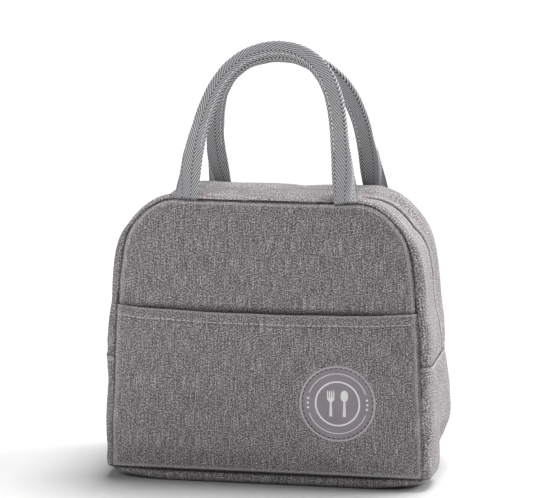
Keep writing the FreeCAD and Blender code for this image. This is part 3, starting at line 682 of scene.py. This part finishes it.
def make_base():
    """Bottom: a band that curls under from the seam, lifted a little at the corners."""
    count, power = 260, 14.0
    half_x, half_y = HALF_BASE - 0.5, SEAM_Y
    angle = math.tau * (np.arange(count) + 0.5) / count
    turn = np.stack([np.cos(angle), np.sin(angle)], -1)
    radius = (np.abs(turn) ** power).sum(axis=1) ** (-1 / power)
    ring = turn * radius[:, None] * [half_x, half_y]
    # how far inside the seam each row of the band stands, and its height
    profile = [(1.4, BOTTOM_SEAM + 1.0), (0.8, BOTTOM_SEAM + 0.2), (-0.2, BOTTOM_SEAM - 0.6), (-1.2, BOTTOM_SEAM - 1.8),
               (-1.7, 5.2), (-1.6, 3.6), (-1.0, 2.0), (0.2, 0.9), (2.0, 0.3), (5, 0.08), (10, 0), (18, 0)]
    rows = [(ring * [(half_x - inset) / half_x, (half_y - inset) / half_y], z) for inset, z in profile]
    rows += [(ring * share, 0.0) for share in (0.7, 0.5, 0.3, 0.12, 0.01)]
    grid = []
    for place, z in rows:
        far = smooth(0.62, 1.0, np.abs(place[:, 0]) / half_x) * smooth(0.45, 1.0, np.abs(place[:, 1]) / half_y)
        lift = 3.2 * far * (0.35 + 0.65 * smooth(BOTTOM_SEAM, 0, z))
        grid.append(np.stack([place[:, 0] * narrow(place[:, 1], z), place[:, 1], z + lift], -1))
    points = np.array(grid)
    depth = np.array([z for _, z in rows])[:, None]
    # painted shade in the bottom seam groove, and painted shadow where the base meets the floor
    painted_shade = np.clip(0.95 * bell(depth, BOTTOM_SEAM - 0.2, 1.1) + 0.35 * smooth(3, 0.5, depth), 0, 1)
    seam_run = np.cumsum(np.linalg.norm(np.diff(ring, axis=0, append=ring[:1]), axis=1))
    drop = run_length(points[:, 0])[:, None]
    on_band = drop < 24
    uv = (np.where(on_band, seam_run[None, :], points[..., 0]),
          np.where(on_band, drop + 0 * seam_run, points[..., 1]))
    values = {"painted_shade": painted_shade, "edge": 0.0}
    piece = grid_object("base_fabric", points, uv, values, closed=True, flip=True)
    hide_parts("base_panel", "base_foam")
    return dress(piece, FABRIC)


front = make_front()
back = make_back()
front_gusset = make_gusset("front_gusset_fabric", True)
back_gusset = make_gusset("back_gusset_fabric", False)
right_side = make_side("right_side_fabric", 1)
left_side = make_side("left_side_fabric", -1)
base = make_base()
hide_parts("front_gusset", "front_gusset_foam", "gusset_feet")
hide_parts("back_gusset", "back_gusset_foam")
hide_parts("right_side_panel", "right_side_foam")
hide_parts("left_side_panel", "left_side_foam")


# ------------------------------------------------------------------ pocket
def make_pocket():
    rows, columns = 78, 101
    t = np.linspace(0, 1, rows)[:, None]
    u = across(columns)[None, :]
    mouth = POCKET_TOP - 3.0 * (1 - u ** 2) ** 0.8 + 0.25 * waves(12, u * 100, u * 0, 45)
    z = BOTTOM_SEAM + 0.4 + (mouth - BOTTOM_SEAM - 0.4) * (1 - (1 - t) ** 1.15)
    x = u * (half_width(z) + 0.25)
    depth, d = pocket_depth(x * 0.998, z)
    from_top = mouth - z
    depth = depth + 0.55 * smooth(7.9, 6.9, from_top) - 0.35 * bell(from_top, 7.5, 0.8)
    depth = depth - 0.5 * smooth(1.2, 0, from_top)
    points = np.stack([x, -(SEAM_Y + depth), z], -1)
    points = settle(points, False, cap=0.9)
    depth = -points[..., 1] - SEAM_Y
    # painted shade in the seam grooves and in the dip below the hem stitching; painted highlight on the folded mouth
    # and the rolled edges
    values = {"painted_shade": 0.95 * smooth(1.3, 0.3, d) + 0.35 * bell(from_top, 8.3, 0.7),
              "edge": 0.5 * bell(d, 2.4, 0.9) + 0.5 * smooth(1.8, 0.3, from_top)}
    piece = grid_object("pocket_fabric", points, (x + 31.0, z + 17.0), values)
    thicken(piece, 1.5)
    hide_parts("pocket_lower", "pocket_upper")
    dress(piece, FABRIC)
    return piece, (x, z, depth, from_top)


pocket, (pocket_x, pocket_z, pocket_d, pocket_from_top) = make_pocket()


def stitches(name, lines, length, gap, radius, made):
    """Rows of separate stitches along lines of points, each a small bead pulled in at its ends."""
    points, faces, sides = [], [], 6
    for line, outward in lines:
        line, outward = np.asarray(line, float), np.asarray(outward, float)
        s = run_length(line)
        start = 0.0
        while start + length <= s[-1]:
            knots = np.linspace(start, start + length, 7)
            centre = np.stack([np.interp(knots, s, line[:, k]) for k in range(3)], 1)
            normal = unit(np.stack([np.interp(knots, s, outward[:, k]) for k in range(3)], 1))
            arc = np.sin(np.linspace(0.12, math.pi - 0.12, 7))
            centre = centre + normal * (radius * (arc * 1.1 - 0.7))[:, None]
            along = unit(np.gradient(centre, axis=0))
            side = np.cross(along, normal)
            base_index = len(points)
            for k in range(7):
                r = radius * (0.45 + 0.55 * arc[k])
                for m in range(sides):
                    angle = math.tau * m / sides
                    points.append(centre[k] + r * (math.cos(angle) * side[k] + math.sin(angle) * normal[k]))
            faces += grid_faces(7, sides, closed=True, start=base_index)
            faces.append(tuple(base_index + m for m in range(sides))[::-1])
            faces.append(tuple(base_index + 6 * sides + m for m in range(sides)))
            start += length + gap
    piece = mesh_object(name, points, faces, values={"painted_shade": np.zeros(len(points))})
    return dress(piece, made)


def hem_line():
    """The line of the hem stitching on the pocket's face."""
    line = []
    for column in range(pocket_x.shape[1]):
        order = np.argsort(pocket_from_top[:, column])
        at = pocket_from_top[order, column]
        line.append([np.interp(7.5, at, field[order, column])
                     for field in (pocket_x, -(SEAM_Y + pocket_d), pocket_z)])
    return np.array(line)[1:-1]


hem = hem_line()
hem_stitching = stitches("pocket_hem_thread", [(hem, np.broadcast_to([0, -1.0, 0], hem.shape))],
                         3.3, 0.55, 0.3, PALE_THREAD)
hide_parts("pocket_hem_stitching")

side_rows = []
for sign in (1, -1):
    for drop in (3.5, 7.5):
        y = np.linspace(-SEAM_Y + 3, SEAM_Y - 3, 60)
        near = wall_points(SIDE_INDEX, y)
        height = ZIP_END - drop
        row = np.array([[np.interp(height, near[:, k, 2], near[:, k, 0]), y[k], height] for k in range(len(y))])
        row[:, 0] -= side_lip(ZIP_END - drop)
        row[:, 0] *= -sign
        side_rows.append((row, np.broadcast_to([float(sign), 0, 0], row.shape)))
side_thread = stitches("side_seam_thread", side_rows, 3.3, 0.5, 0.42, PALE_THREAD)
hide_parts("side_topstitching")


# ------------------------------------------------------------------ zip
def zip_line(y, inset):
    return inside(ZIP_INDEX, np.array([y]), inset)[:, 0]


def make_tape(name, sign):
    depths = np.linspace(0.7, 13.5, 9)
    rows = np.stack([zip_line(sign * d, 1.9 + 0.02 * d) for d in depths], 1)
    along = LENGTH[ZIP_INDEX][:, None]
    piece = grid_object(name, rows, (depths[None, :], along), {"painted_shade": 0.0}, flip=sign < 0)
    return dress(piece, TAPE)


def make_teeth(name, sign):
    """A row of coil loops that reach across the middle between those of the other row."""
    line = zip_line(0.0, 1.5)
    s = LENGTH[ZIP_INDEX]
    s = s - s[0]
    pitch = 1.9
    places = np.arange(1.0 + (0 if sign < 0 else pitch / 2), s[-1] - 1.0, pitch)
    points, faces = [], []
    for place in places:
        centre = np.array([np.interp(place, s, line[:, k]) for k in range(3)])
        ahead = np.array([np.interp(place + 0.5, s, line[:, k]) for k in range(3)])
        tangent = (ahead - centre) / np.linalg.norm(ahead - centre)
        tangent[1] = 0
        normal = np.array([-tangent[2], 0, tangent[0]])
        start = len(points)
        loop = [(2.6, -0.15), (1.2, 0.22), (0.1, 0.35), (-0.55, 0.0), (0.1, -0.35), (2.6, -0.5)]
        for a, b in loop:
            middle = centre + np.array([0, sign * a, 0]) + normal * b
            for m in range(5):
                angle = math.tau * m / 5
                points.append(middle + 0.36 * (math.cos(angle) * tangent + math.sin(angle) * normal))
        faces += grid_faces(len(loop), 5, closed=True, start=start)
    piece = mesh_object(name, points, faces)
    return dress(piece, TEETH)


front_tape = make_tape("front_zip_tape_cloth", -1)
back_tape = make_tape("back_zip_tape_cloth", 1)
front_teeth = make_teeth("front_zip_coil", -1)
back_teeth = make_teeth("back_zip_coil", 1)
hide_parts("front_zip_tape", "zip_end_tape")
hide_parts("back_zip_tape")
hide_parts("front_zip_teeth", "zip_end_teeth")
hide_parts("back_zip_teeth")


# ------------------------------------------------------------------ lining
LINING_INSET = 5.9


def lining_flap(name, sign):
    """Foil lining of one half: the flat sheet and the strip round it, down to the floor."""
    z = panel_heights()[2:, None]
    x = across(61)[None, :] * (half_width(z) - LINING_INSET)
    z = np.broadcast_to(z * (TOP - LINING_INSET - 12) / TOP + 12, x.shape)
    y = np.full(x.shape, sign * (SEAM_Y - LINING_INSET)) - sign * 0.5 * waves(20, x, z, 30)
    points = np.stack([x * narrow(y, z), y, z - sag(z, y, x)], -1)
    flat = grid_object(name, points, (x, z), {"painted_shade": 0.0}, flip=sign < 0)
    keep = np.nonzero(PATH[:, 1] >= BOTTOM_SEAM + 3)[0][::2]
    depths = np.linspace(SEAM_Y - LINING_INSET, 13.0, 20)
    y = sign * depths
    strip = inside(keep, y, LINING_INSET + 1.2)
    around = grid_object("strip", strip, (y[None, :], LENGTH[keep][:, None]), {"painted_shade": 0.0}, flip=sign > 0)
    piece = join(name, [flat, around])
    return dress(piece, FOIL)


def lining_floor():
    x = np.linspace(-1, 1, 40)[None, :] * (HALF_BASE - LINING_INSET)
    y = np.linspace(-1, 1, 24)[:, None] * (SEAM_Y - LINING_INSET)
    x, y = np.broadcast_to(x, (24, 40)), np.broadcast_to(y, (24, 40))
    z = 11.0 + 0.4 * waves(21, x, y, 40)
    floor = grid_object("lining_floor", np.stack([x * narrow(y, z), y, z], -1), (x, y), {"painted_shade": 0.0})
    keep = np.nonzero((PATH[:, 1] <= ZIP_END + 6) & (PATH[:, 0] < 0))[0][::2]
    depth = np.linspace(-14, 14, 8)
    pieces = [floor]
    for sign in (1, -1):
        strip = inside(keep, depth, LINING_INSET + 1.2)
        strip[:, :, 0] *= -sign
        uv = (depth[None, :], PATH[keep][:, 1][:, None])
        pieces.append(grid_object("side_foil", strip, uv, {"painted_shade": 0.0}, flip=sign > 0))
    piece = join("lining_floor", pieces)
    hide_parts("lower_lining")
    return dress(piece, FOIL)


front_lining = lining_flap("front_lining_foil", -1)
back_lining = lining_flap("back_lining_foil", 1)
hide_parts("front_lining")
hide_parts("back_lining")
floor_lining = lining_floor()


def make_binding(name, sign):
    """Binding tape folded over the seam allowance inside a half."""
    keep = np.nonzero(PATH[:, 1] >= SPLIT)[0]
    section = [(-3.4, 0.0), (-3.2, 0.9), (0, 1.3), (3.2, 0.9), (3.4, 0.0)]
    rows = []
    for a, b in section:
        y = sign * (SEAM_Y - LINING_INSET - 4.0 + a)
        rows.append(inside(keep, np.array([y]), LINING_INSET + 1.4 + b)[:, 0])
    uv = (np.array([s[0] for s in section])[None, :], LENGTH[keep][:, None])
    piece = grid_object(name, np.stack(rows, 1), uv, {"painted_shade": 0.0}, flip=sign < 0)
    return dress(piece, BINDING)


front_binding = make_binding("front_binding_tape", -1)
back_binding = make_binding("back_binding_tape", 1)
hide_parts("front_seam_binding")
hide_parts("back_seam_binding")


# ------------------------------------------------------------------ badge
def badge_face(x, z):
    """How far forward the pocket stands under the badge."""
    depth, _ = pocket_depth(np.asarray(x, float), np.asarray(z, float))
    return SEAM_Y + depth


def flat_on_pocket(name, rings, made, values=None):
    """A round piece on the pocket. rings is a list of (radius, height over the pocket's face)."""
    count = 128
    angle = np.linspace(0, math.tau, count, endpoint=False)[None, :]
    radius = np.array([r for r, _ in rings])[:, None]
    rise = np.array([h for _, h in rings])[:, None]
    x, z = BADGE[0] + radius * np.cos(angle), BADGE[2] + radius * np.sin(angle)
    y = -(badge_face(x, z) + rise)
    piece = grid_object(name, np.stack([x, y, z], -1), (x, z), values, closed=True, flip=True)
    return dress(piece, made)


badge_rings = [(BADGE_RADIUS - 0.2, -0.3), (BADGE_RADIUS, 0.5), (BADGE_RADIUS - 0.25, 1.05), (BADGE_RADIUS - 0.9, 1.35),
               (BADGE_RADIUS - 1.5, 1.3), (BADGE_RADIUS - 1.9, 1.0), (BADGE_RADIUS - 2.6, 0.95), (22, 1.05), (16, 1.05),
               (9, 1.05), (4, 1.05), (0.05, 1.05)]
rim_share = np.array([0.6, 1, 1, 1, 0.8, 0.1, 0, 0, 0, 0, 0, 0.0])[:, None]
badge = flat_on_pocket("badge_disc", badge_rings, LEATHER, {"rim": rim_share})
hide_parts("badge")

angle = np.linspace(0, math.tau, 200)
ring_x, ring_z = BADGE[0] + (BADGE_RADIUS - 2.2) * np.cos(angle), BADGE[2] + (BADGE_RADIUS - 2.2) * np.sin(angle)
ring = np.stack([ring_x, -(badge_face(ring_x, ring_z) + 1.0), ring_z], -1)
badge_thread = stitches("badge_edge_thread", [(ring, np.broadcast_to([0, -1.0, 0], ring.shape))], 2.6, 1.1, 0.34,
                        DARK_THREAD)
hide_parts("badge_stitching")


def printed(outline, lift=1.16, thick=0.12):
    """A printed shape from its outline round the badge's centre: a thin raised face."""
    outline = np.asarray(outline, float)
    x, z = BADGE[0] + outline[:, 0], BADGE[2] + outline[:, 1]
    face = badge_face(x, z)
    top = np.stack([x, -(face + lift), z], -1)
    under = np.stack([x, -(face + lift - thick), z], -1)
    return top, under


def band(radius, width, start, end, count):
    """A ring or part of one, as quads."""
    angle = np.linspace(start, end, count)
    return [(radius * np.stack([np.cos(angle), np.sin(angle)], -1)),
            ((radius - width) * np.stack([np.cos(angle), np.sin(angle)], -1))]


def ribbon(line, widths):
    """The two edges of a brush stroke along a line."""
    line = np.asarray(line, float)
    tangent = unit(np.gradient(line, axis=0))
    side = np.stack([-tangent[:, 1], tangent[:, 0]], -1)
    widths = np.asarray(widths, float)[:, None]
    return [line + side * widths / 2, line - side * widths / 2]


def upright(x, heights, widths):
    return ribbon(np.stack([np.full(len(heights), x), heights], -1), widths)


def print_marks():
    """A plain ring with a fork and a spoon, two thin arcs and six dots."""
    strokes = [band(16.7, 1.2, 0, math.tau, 120), band(22.3, 0.5, math.radians(20), math.radians(160), 70),
               band(22.3, 0.5, math.radians(200), math.radians(340), 70)]
    up = np.linspace(-9.6, 0.4, 12)
    strokes.append(upright(-5.0, up, np.linspace(2.3, 1.5, 12)))
    neck = np.linspace(0.2, 4.6, 10)
    strokes.append(upright(-5.0, neck, 1.5 + 3.9 * smooth(0.2, 3.6, neck)))
    for shift in (-2.25, -0.75, 0.75, 2.25):
        tine = np.linspace(4.2, 9.6, 8)
        strokes.append(upright(-5.0 + shift, tine, 0.95 - 0.45 * smooth(7.6, 9.6, tine)))
    strokes.append(upright(5.0, np.linspace(-9.6, 2.6, 12), np.linspace(2.3, 1.4, 12)))
    bowl = np.linspace(1.4, 9.9, 26)
    strokes.append(upright(5.0, bowl, 5.6 * np.sqrt(np.clip(1 - ((bowl - 5.7) / 4.25) ** 2, 0.001, 1))))
    for side in (0, 180):
        for step in (-9, 0, 9):
            a = math.radians(side + step)
            dot = np.linspace(-0.8, 0.8, 9)
            centre = 21.9 * np.array([math.cos(a), math.sin(a)])
            strokes.append(ribbon(centre + np.stack([np.zeros(9), dot], -1),
                                  1.7 * np.sqrt(np.clip(1 - (dot / 0.85) ** 2, 0.01, 1))))
    points, faces = [], []
    for left, right in strokes:
        top_left, low_left = printed(left)
        top_right, low_right = printed(right)
        n = len(left)
        start = len(points)
        points += [*low_left, *top_left, *top_right, *low_right]
        faces += grid_faces(4, n, start=start)
    piece = mesh_object("badge_print_marks", points, faces, smooth_shading=False)
    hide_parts("badge_print")
    return dress(piece, PRINT)


badge_print = print_marks()


# ------------------------------------------------------------------ handles
WEB_WIDTH, WEB_THICK = 26.0, 1.7
FOLD_LENGTH = 5.0
STRIPE_PITCH, STRIPE_RUN = 3.2, 1.8


# Middle lines of the handles in their own leaning planes, in mm: across, and up from the seam.
FRONT_LINE = [(-59.5, 0), (-57.2, 26), (-54.8, 48), (-51.4, 68), (-45.6, 87), (-37.4, 102), (-26.5, 112.6),
              (-14, 118.3), (-2, 120.2), (12.3, 118.2), (25.4, 110.8), (35.2, 99), (41.8, 85), (46, 70), (49.6, 50),
              (53.2, 30), (57, 12), (59.5, 0)]
BACK_LINE = [(-60.5, 0), (-59.6, 30), (-58.8, 50), (-56.8, 68), (-52.2, 88), (-43, 105.5), (-28.5, 118.5), (-8, 124.5),
             (10, 123.2), (28.5, 112.6), (40.4, 99.5), (47.2, 86), (52.4, 67), (55.4, 45), (57.2, 26), (60, 0)]
HANDLE_LEAN = math.radians(29.0)


def even_line(points, step=0.62):
    """A smooth line through points, evenly spaced, and the length along it."""
    points = np.asarray(points, float)
    for _ in range(2):
        s = run_length(points)
        t = np.linspace(0, s[-1], int(s[-1] / step))
        points = np.stack([np.interp(t, s, points[:, k]) for k in (0, 1)], 1)
        soften(points, 50)
    return points, t


def fold_section(fold, w):
    """The webbing's middle surface across its width w (0 is the fold line, positive the leaf that faces front),
    for a fold from 0, flat, to 1, doubled. Returns places across the handle and towards its rear."""
    angle = fold * math.pi * 1.02
    steps = np.linspace(-WEB_WIDTH / 2, WEB_WIDTH / 2, 241)[::-1]
    turned = np.clip((FOLD_LENGTH / 2 - steps) / FOLD_LENGTH, 0, 1) * angle
    ds = WEB_WIDTH / 240
    a = np.concatenate([[0], np.cumsum(np.cos(turned[:-1]) * ds)])
    b = np.concatenate([[0], np.cumsum(np.sin(turned[:-1]) * ds)])
    a = a - (a.max() + a.min()) / 2
    b = b - b.max() / 2
    order = np.argsort(steps)
    return (np.interp(w, steps[order], a[order]), np.interp(w, steps[order], b[order]))


def make_handle(name, middle_line, sign, drop):
    """A handle of doubled herringbone webbing. sign is -1 for the front one and 1 for the back one."""
    line, t = even_line(middle_line)
    columns = 49
    w = np.linspace(-WEB_WIDTH / 2, WEB_WIDTH / 2, columns)
    from_root = np.minimum(t, t[-1] - t)
    tangent = unit(np.gradient(line, axis=0))
    outward = np.stack([-tangent[:, 1], tangent[:, 0]], -1)
    # sewn down flat at the root, then doubled, with an even taper between
    levels = np.linspace(0, 1, 41)
    table = np.array([fold_section(level, w) for level in levels])
    widths = np.maximum.accumulate((table[:, 0].max(axis=1) - table[:, 0].min(axis=1))[::-1])[::-1]
    squeeze = 0.72 + 0.28 * smooth(0, 26, from_root)
    wanted = (18.2 - 6.1 * np.clip(from_root / 52, 0, 1)) / squeeze
    fold = np.where(from_root > 52, 1.0, np.interp(-wanted, -widths, levels))
    soften(fold, 120)
    a = np.stack([np.interp(fold, levels, table[:, 0, k]) for k in range(columns)], 1) * squeeze[:, None]
    b = np.stack([np.interp(fold, levels, table[:, 1, k]) for k in range(columns)], 1)
    b = 2.1 * np.tanh(b / 2.1)
    plane = line[:, None, :] + outward[:, None, :] * a[..., None]
    # stand the plane on the top seam, leaning towards the middle of the bag
    c, s = math.cos(HANDLE_LEAN), math.sin(HANDLE_LEAN)
    y = sign * (SEAM_Y + 0.4 - plane[..., 1] * s) + b * c
    z = TOP - 1.2 - drop + plane[..., 1] * c + sign * b * s
    points = np.stack([plane[..., 0], y, z], -1)
    # herringbone: slanting ribs that turn back at the borders of three zones, which wander across the webbing
    third = WEB_WIDTH / 3
    shift = 2.1 + 4.5 * smooth(0.3, 0.75, t / t[-1])
    place = w[None, :] - shift[:, None] + WEB_WIDTH * 2.5
    zone = np.floor(place / third)
    local = place - zone * third
    zig = np.where(zone % 2 == 0, third - local, local) * STRIPE_RUN
    phase = (t[:, None] + zig) / STRIPE_PITCH
    saw = phase - np.floor(phase)
    rib = np.clip(np.sin(math.pi * np.clip(saw / 0.66, 0, 1)), 0, 1) ** 0.6
    rib = rib * (1 - 0.4 * np.clip(bell(local, 0, 0.45) + bell(local, third, 0.45), 0, 1))
    normal = np.cross(np.gradient(points, axis=0), np.gradient(points, axis=1))
    normal /= np.linalg.norm(normal, axis=2)[..., None] + 1e-9
    flip = normal[len(t) // 2, columns // 2, 2] < 0
    if flip:
        normal = -normal
    # pressed thin where it comes out of the seam, so that it can hang down over the panel's edge
    pressed = (0.45 + 0.55 * smooth(7, 22, from_root))[:, None, None]
    outer = points + normal * (WEB_THICK / 2 + 0.22 * rib[..., None]) * pressed
    inner = points - normal * (WEB_THICK / 2 - 0.1)
    # a closed band: the outer face, then the inner face back again
    ring = np.concatenate([outer, inner[:, ::-1]], axis=1)
    # painted shade: the inner face's ribs are dimmed to 0.6, which darkens the whole inner face
    ribs = np.concatenate([rib, rib[:, ::-1] * 0.6], axis=1)
    uv = (np.concatenate([w, w[::-1] + 40])[None, :], t[:, None])
    # painted shade where the webbing goes into the seam
    painted_shade = np.broadcast_to(0.7 * smooth(2.4, 0, from_root)[:, None], ribs.shape)
    piece = grid_object(name, ring, uv, {"rib": ribs, "painted_shade": painted_shade}, closed=True, flip=not flip)
    dress(piece, WEBBING)
    return piece, (outer, normal, t, from_root, w)


front_handle, front_grip = make_handle("front_handle_webbing", FRONT_LINE, -1, 0.0)
back_handle, back_grip = make_handle("back_handle_webbing", BACK_LINE, 1, 8.0)
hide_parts("front_handle")
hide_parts("back_handle")


def grip_thread(name, grip, node):
    """The two rows of stitches that hold the doubled webbing together, near its open edge."""
    outer, normal, t, from_root, w = grip
    keep = from_root > 40
    lines = []
    for place in (WEB_WIDTH / 2 - 2.2, -WEB_WIDTH / 2 + 2.2):
        column = int(np.argmin(np.abs(w - place)))
        lines.append((outer[keep, column][::4], normal[keep, column][::4]))
    piece = stitches(name, lines, 3.4, 0.7, 0.28, PALE_THREAD)
    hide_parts(node)
    return piece


front_grip_thread = grip_thread("front_grip_thread", front_grip, "front_handle_stitching")
back_grip_thread = grip_thread("back_grip_thread", back_grip, "back_handle_stitching")


# ------------------------------------------------------------------ slider and pull
for node in ("zip_slider", "pull_tab"):
    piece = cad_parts[node]
    piece.data.materials.clear()
    piece.data.materials.append(METAL)


# ------------------------------------------------------------------ joints
for piece in (front, pocket, front_gusset, front_tape, front_teeth, front_lining, front_binding, hem_stitching):
    bend(piece)
for piece in (back, back_gusset, back_tape, back_teeth, back_lining, back_binding):
    bend(piece)
for piece in (right_side, left_side, base, side_thread, badge, badge_thread, badge_print, floor_lining):
    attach(piece, "tub")
for piece in (front_handle, front_grip_thread):
    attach(piece, "front_strap")
for piece in (back_handle, back_grip_thread):
    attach(piece, "back_strap")


# ------------------------------------------------------------------ floor, light and camera
def make_floor():
    mesh = bpy.data.meshes.new("studio_floor")
    size = 14.0
    mesh.from_pydata([(-size, -size, 0), (size, -size, 0), (size, size, 0), (-size, size, 0)], [], [(0, 1, 2, 3)])
    floor = bpy.data.objects.new("studio_floor", mesh)
    bpy.context.scene.collection.objects.link(floor)
    made = material("studio_floor", (0.60, 0.60, 0.60), 0.95, specular=0.0)
    floor.data.materials.append(made)


def add_light(name, kind, energy, turn):
    data = bpy.data.lights.new(name, kind)
    data.energy = energy
    light = bpy.data.objects.new(name, data)
    light.rotation_euler = turn.to_euler()
    bpy.context.scene.collection.objects.link(light)
    return light


def area_light(name, place, target, size, energy):
    light = add_light(name, "AREA", energy, (Vector(target) - Vector(place)).to_track_quat("-Z", "Y"))
    light.location = place
    light.data.shape = "RECTANGLE"
    light.data.size, light.data.size_y = size


def sun(name, direction, energy, spread):
    light = add_light(name, "SUN", energy, Vector(direction).to_track_quat("Z", "Y"))
    light.data.angle = math.radians(spread)


def make_camera():
    azimuth, elevation, distance = math.radians(10.69), math.radians(10.75), 2.300
    target = Vector((0, 0, 0.112))
    flat = math.cos(elevation)
    away = Vector((math.sin(azimuth) * flat, -math.cos(azimuth) * flat, math.sin(elevation)))
    data = bpy.data.cameras.new("camera")
    data.sensor_width = 36.0
    data.lens = 201.73090909090909
    camera = bpy.data.objects.new("camera", data)
    camera.location = target + away * distance
    aim = Vector((-0.0056, 0, 0.1640))
    camera.rotation_euler = (aim - camera.location).to_track_quat("-Z", "Y").to_euler()
    bpy.context.scene.collection.objects.link(camera)
    bpy.context.scene.camera = camera


make_floor()
make_camera()
world = bpy.data.worlds.new("studio")
bpy.context.scene.world = world
world.use_nodes = True
world.node_tree.nodes["Background"].inputs["Color"].default_value = (1, 1, 1, 1)
world.node_tree.nodes["Background"].inputs["Strength"].default_value = 0.11
bpy.context.scene.view_settings.view_transform = "Standard"

sun("top", (0.15, 0.26, 0.95), 4.2, 35)
sun("side", (0.84, 0.34, 0.42), 3.0, 40)
area_light("fill", (-0.50, -0.55, 0.40), (-0.08, -0.06, 0.16), (0.3, 0.4), 1.6)
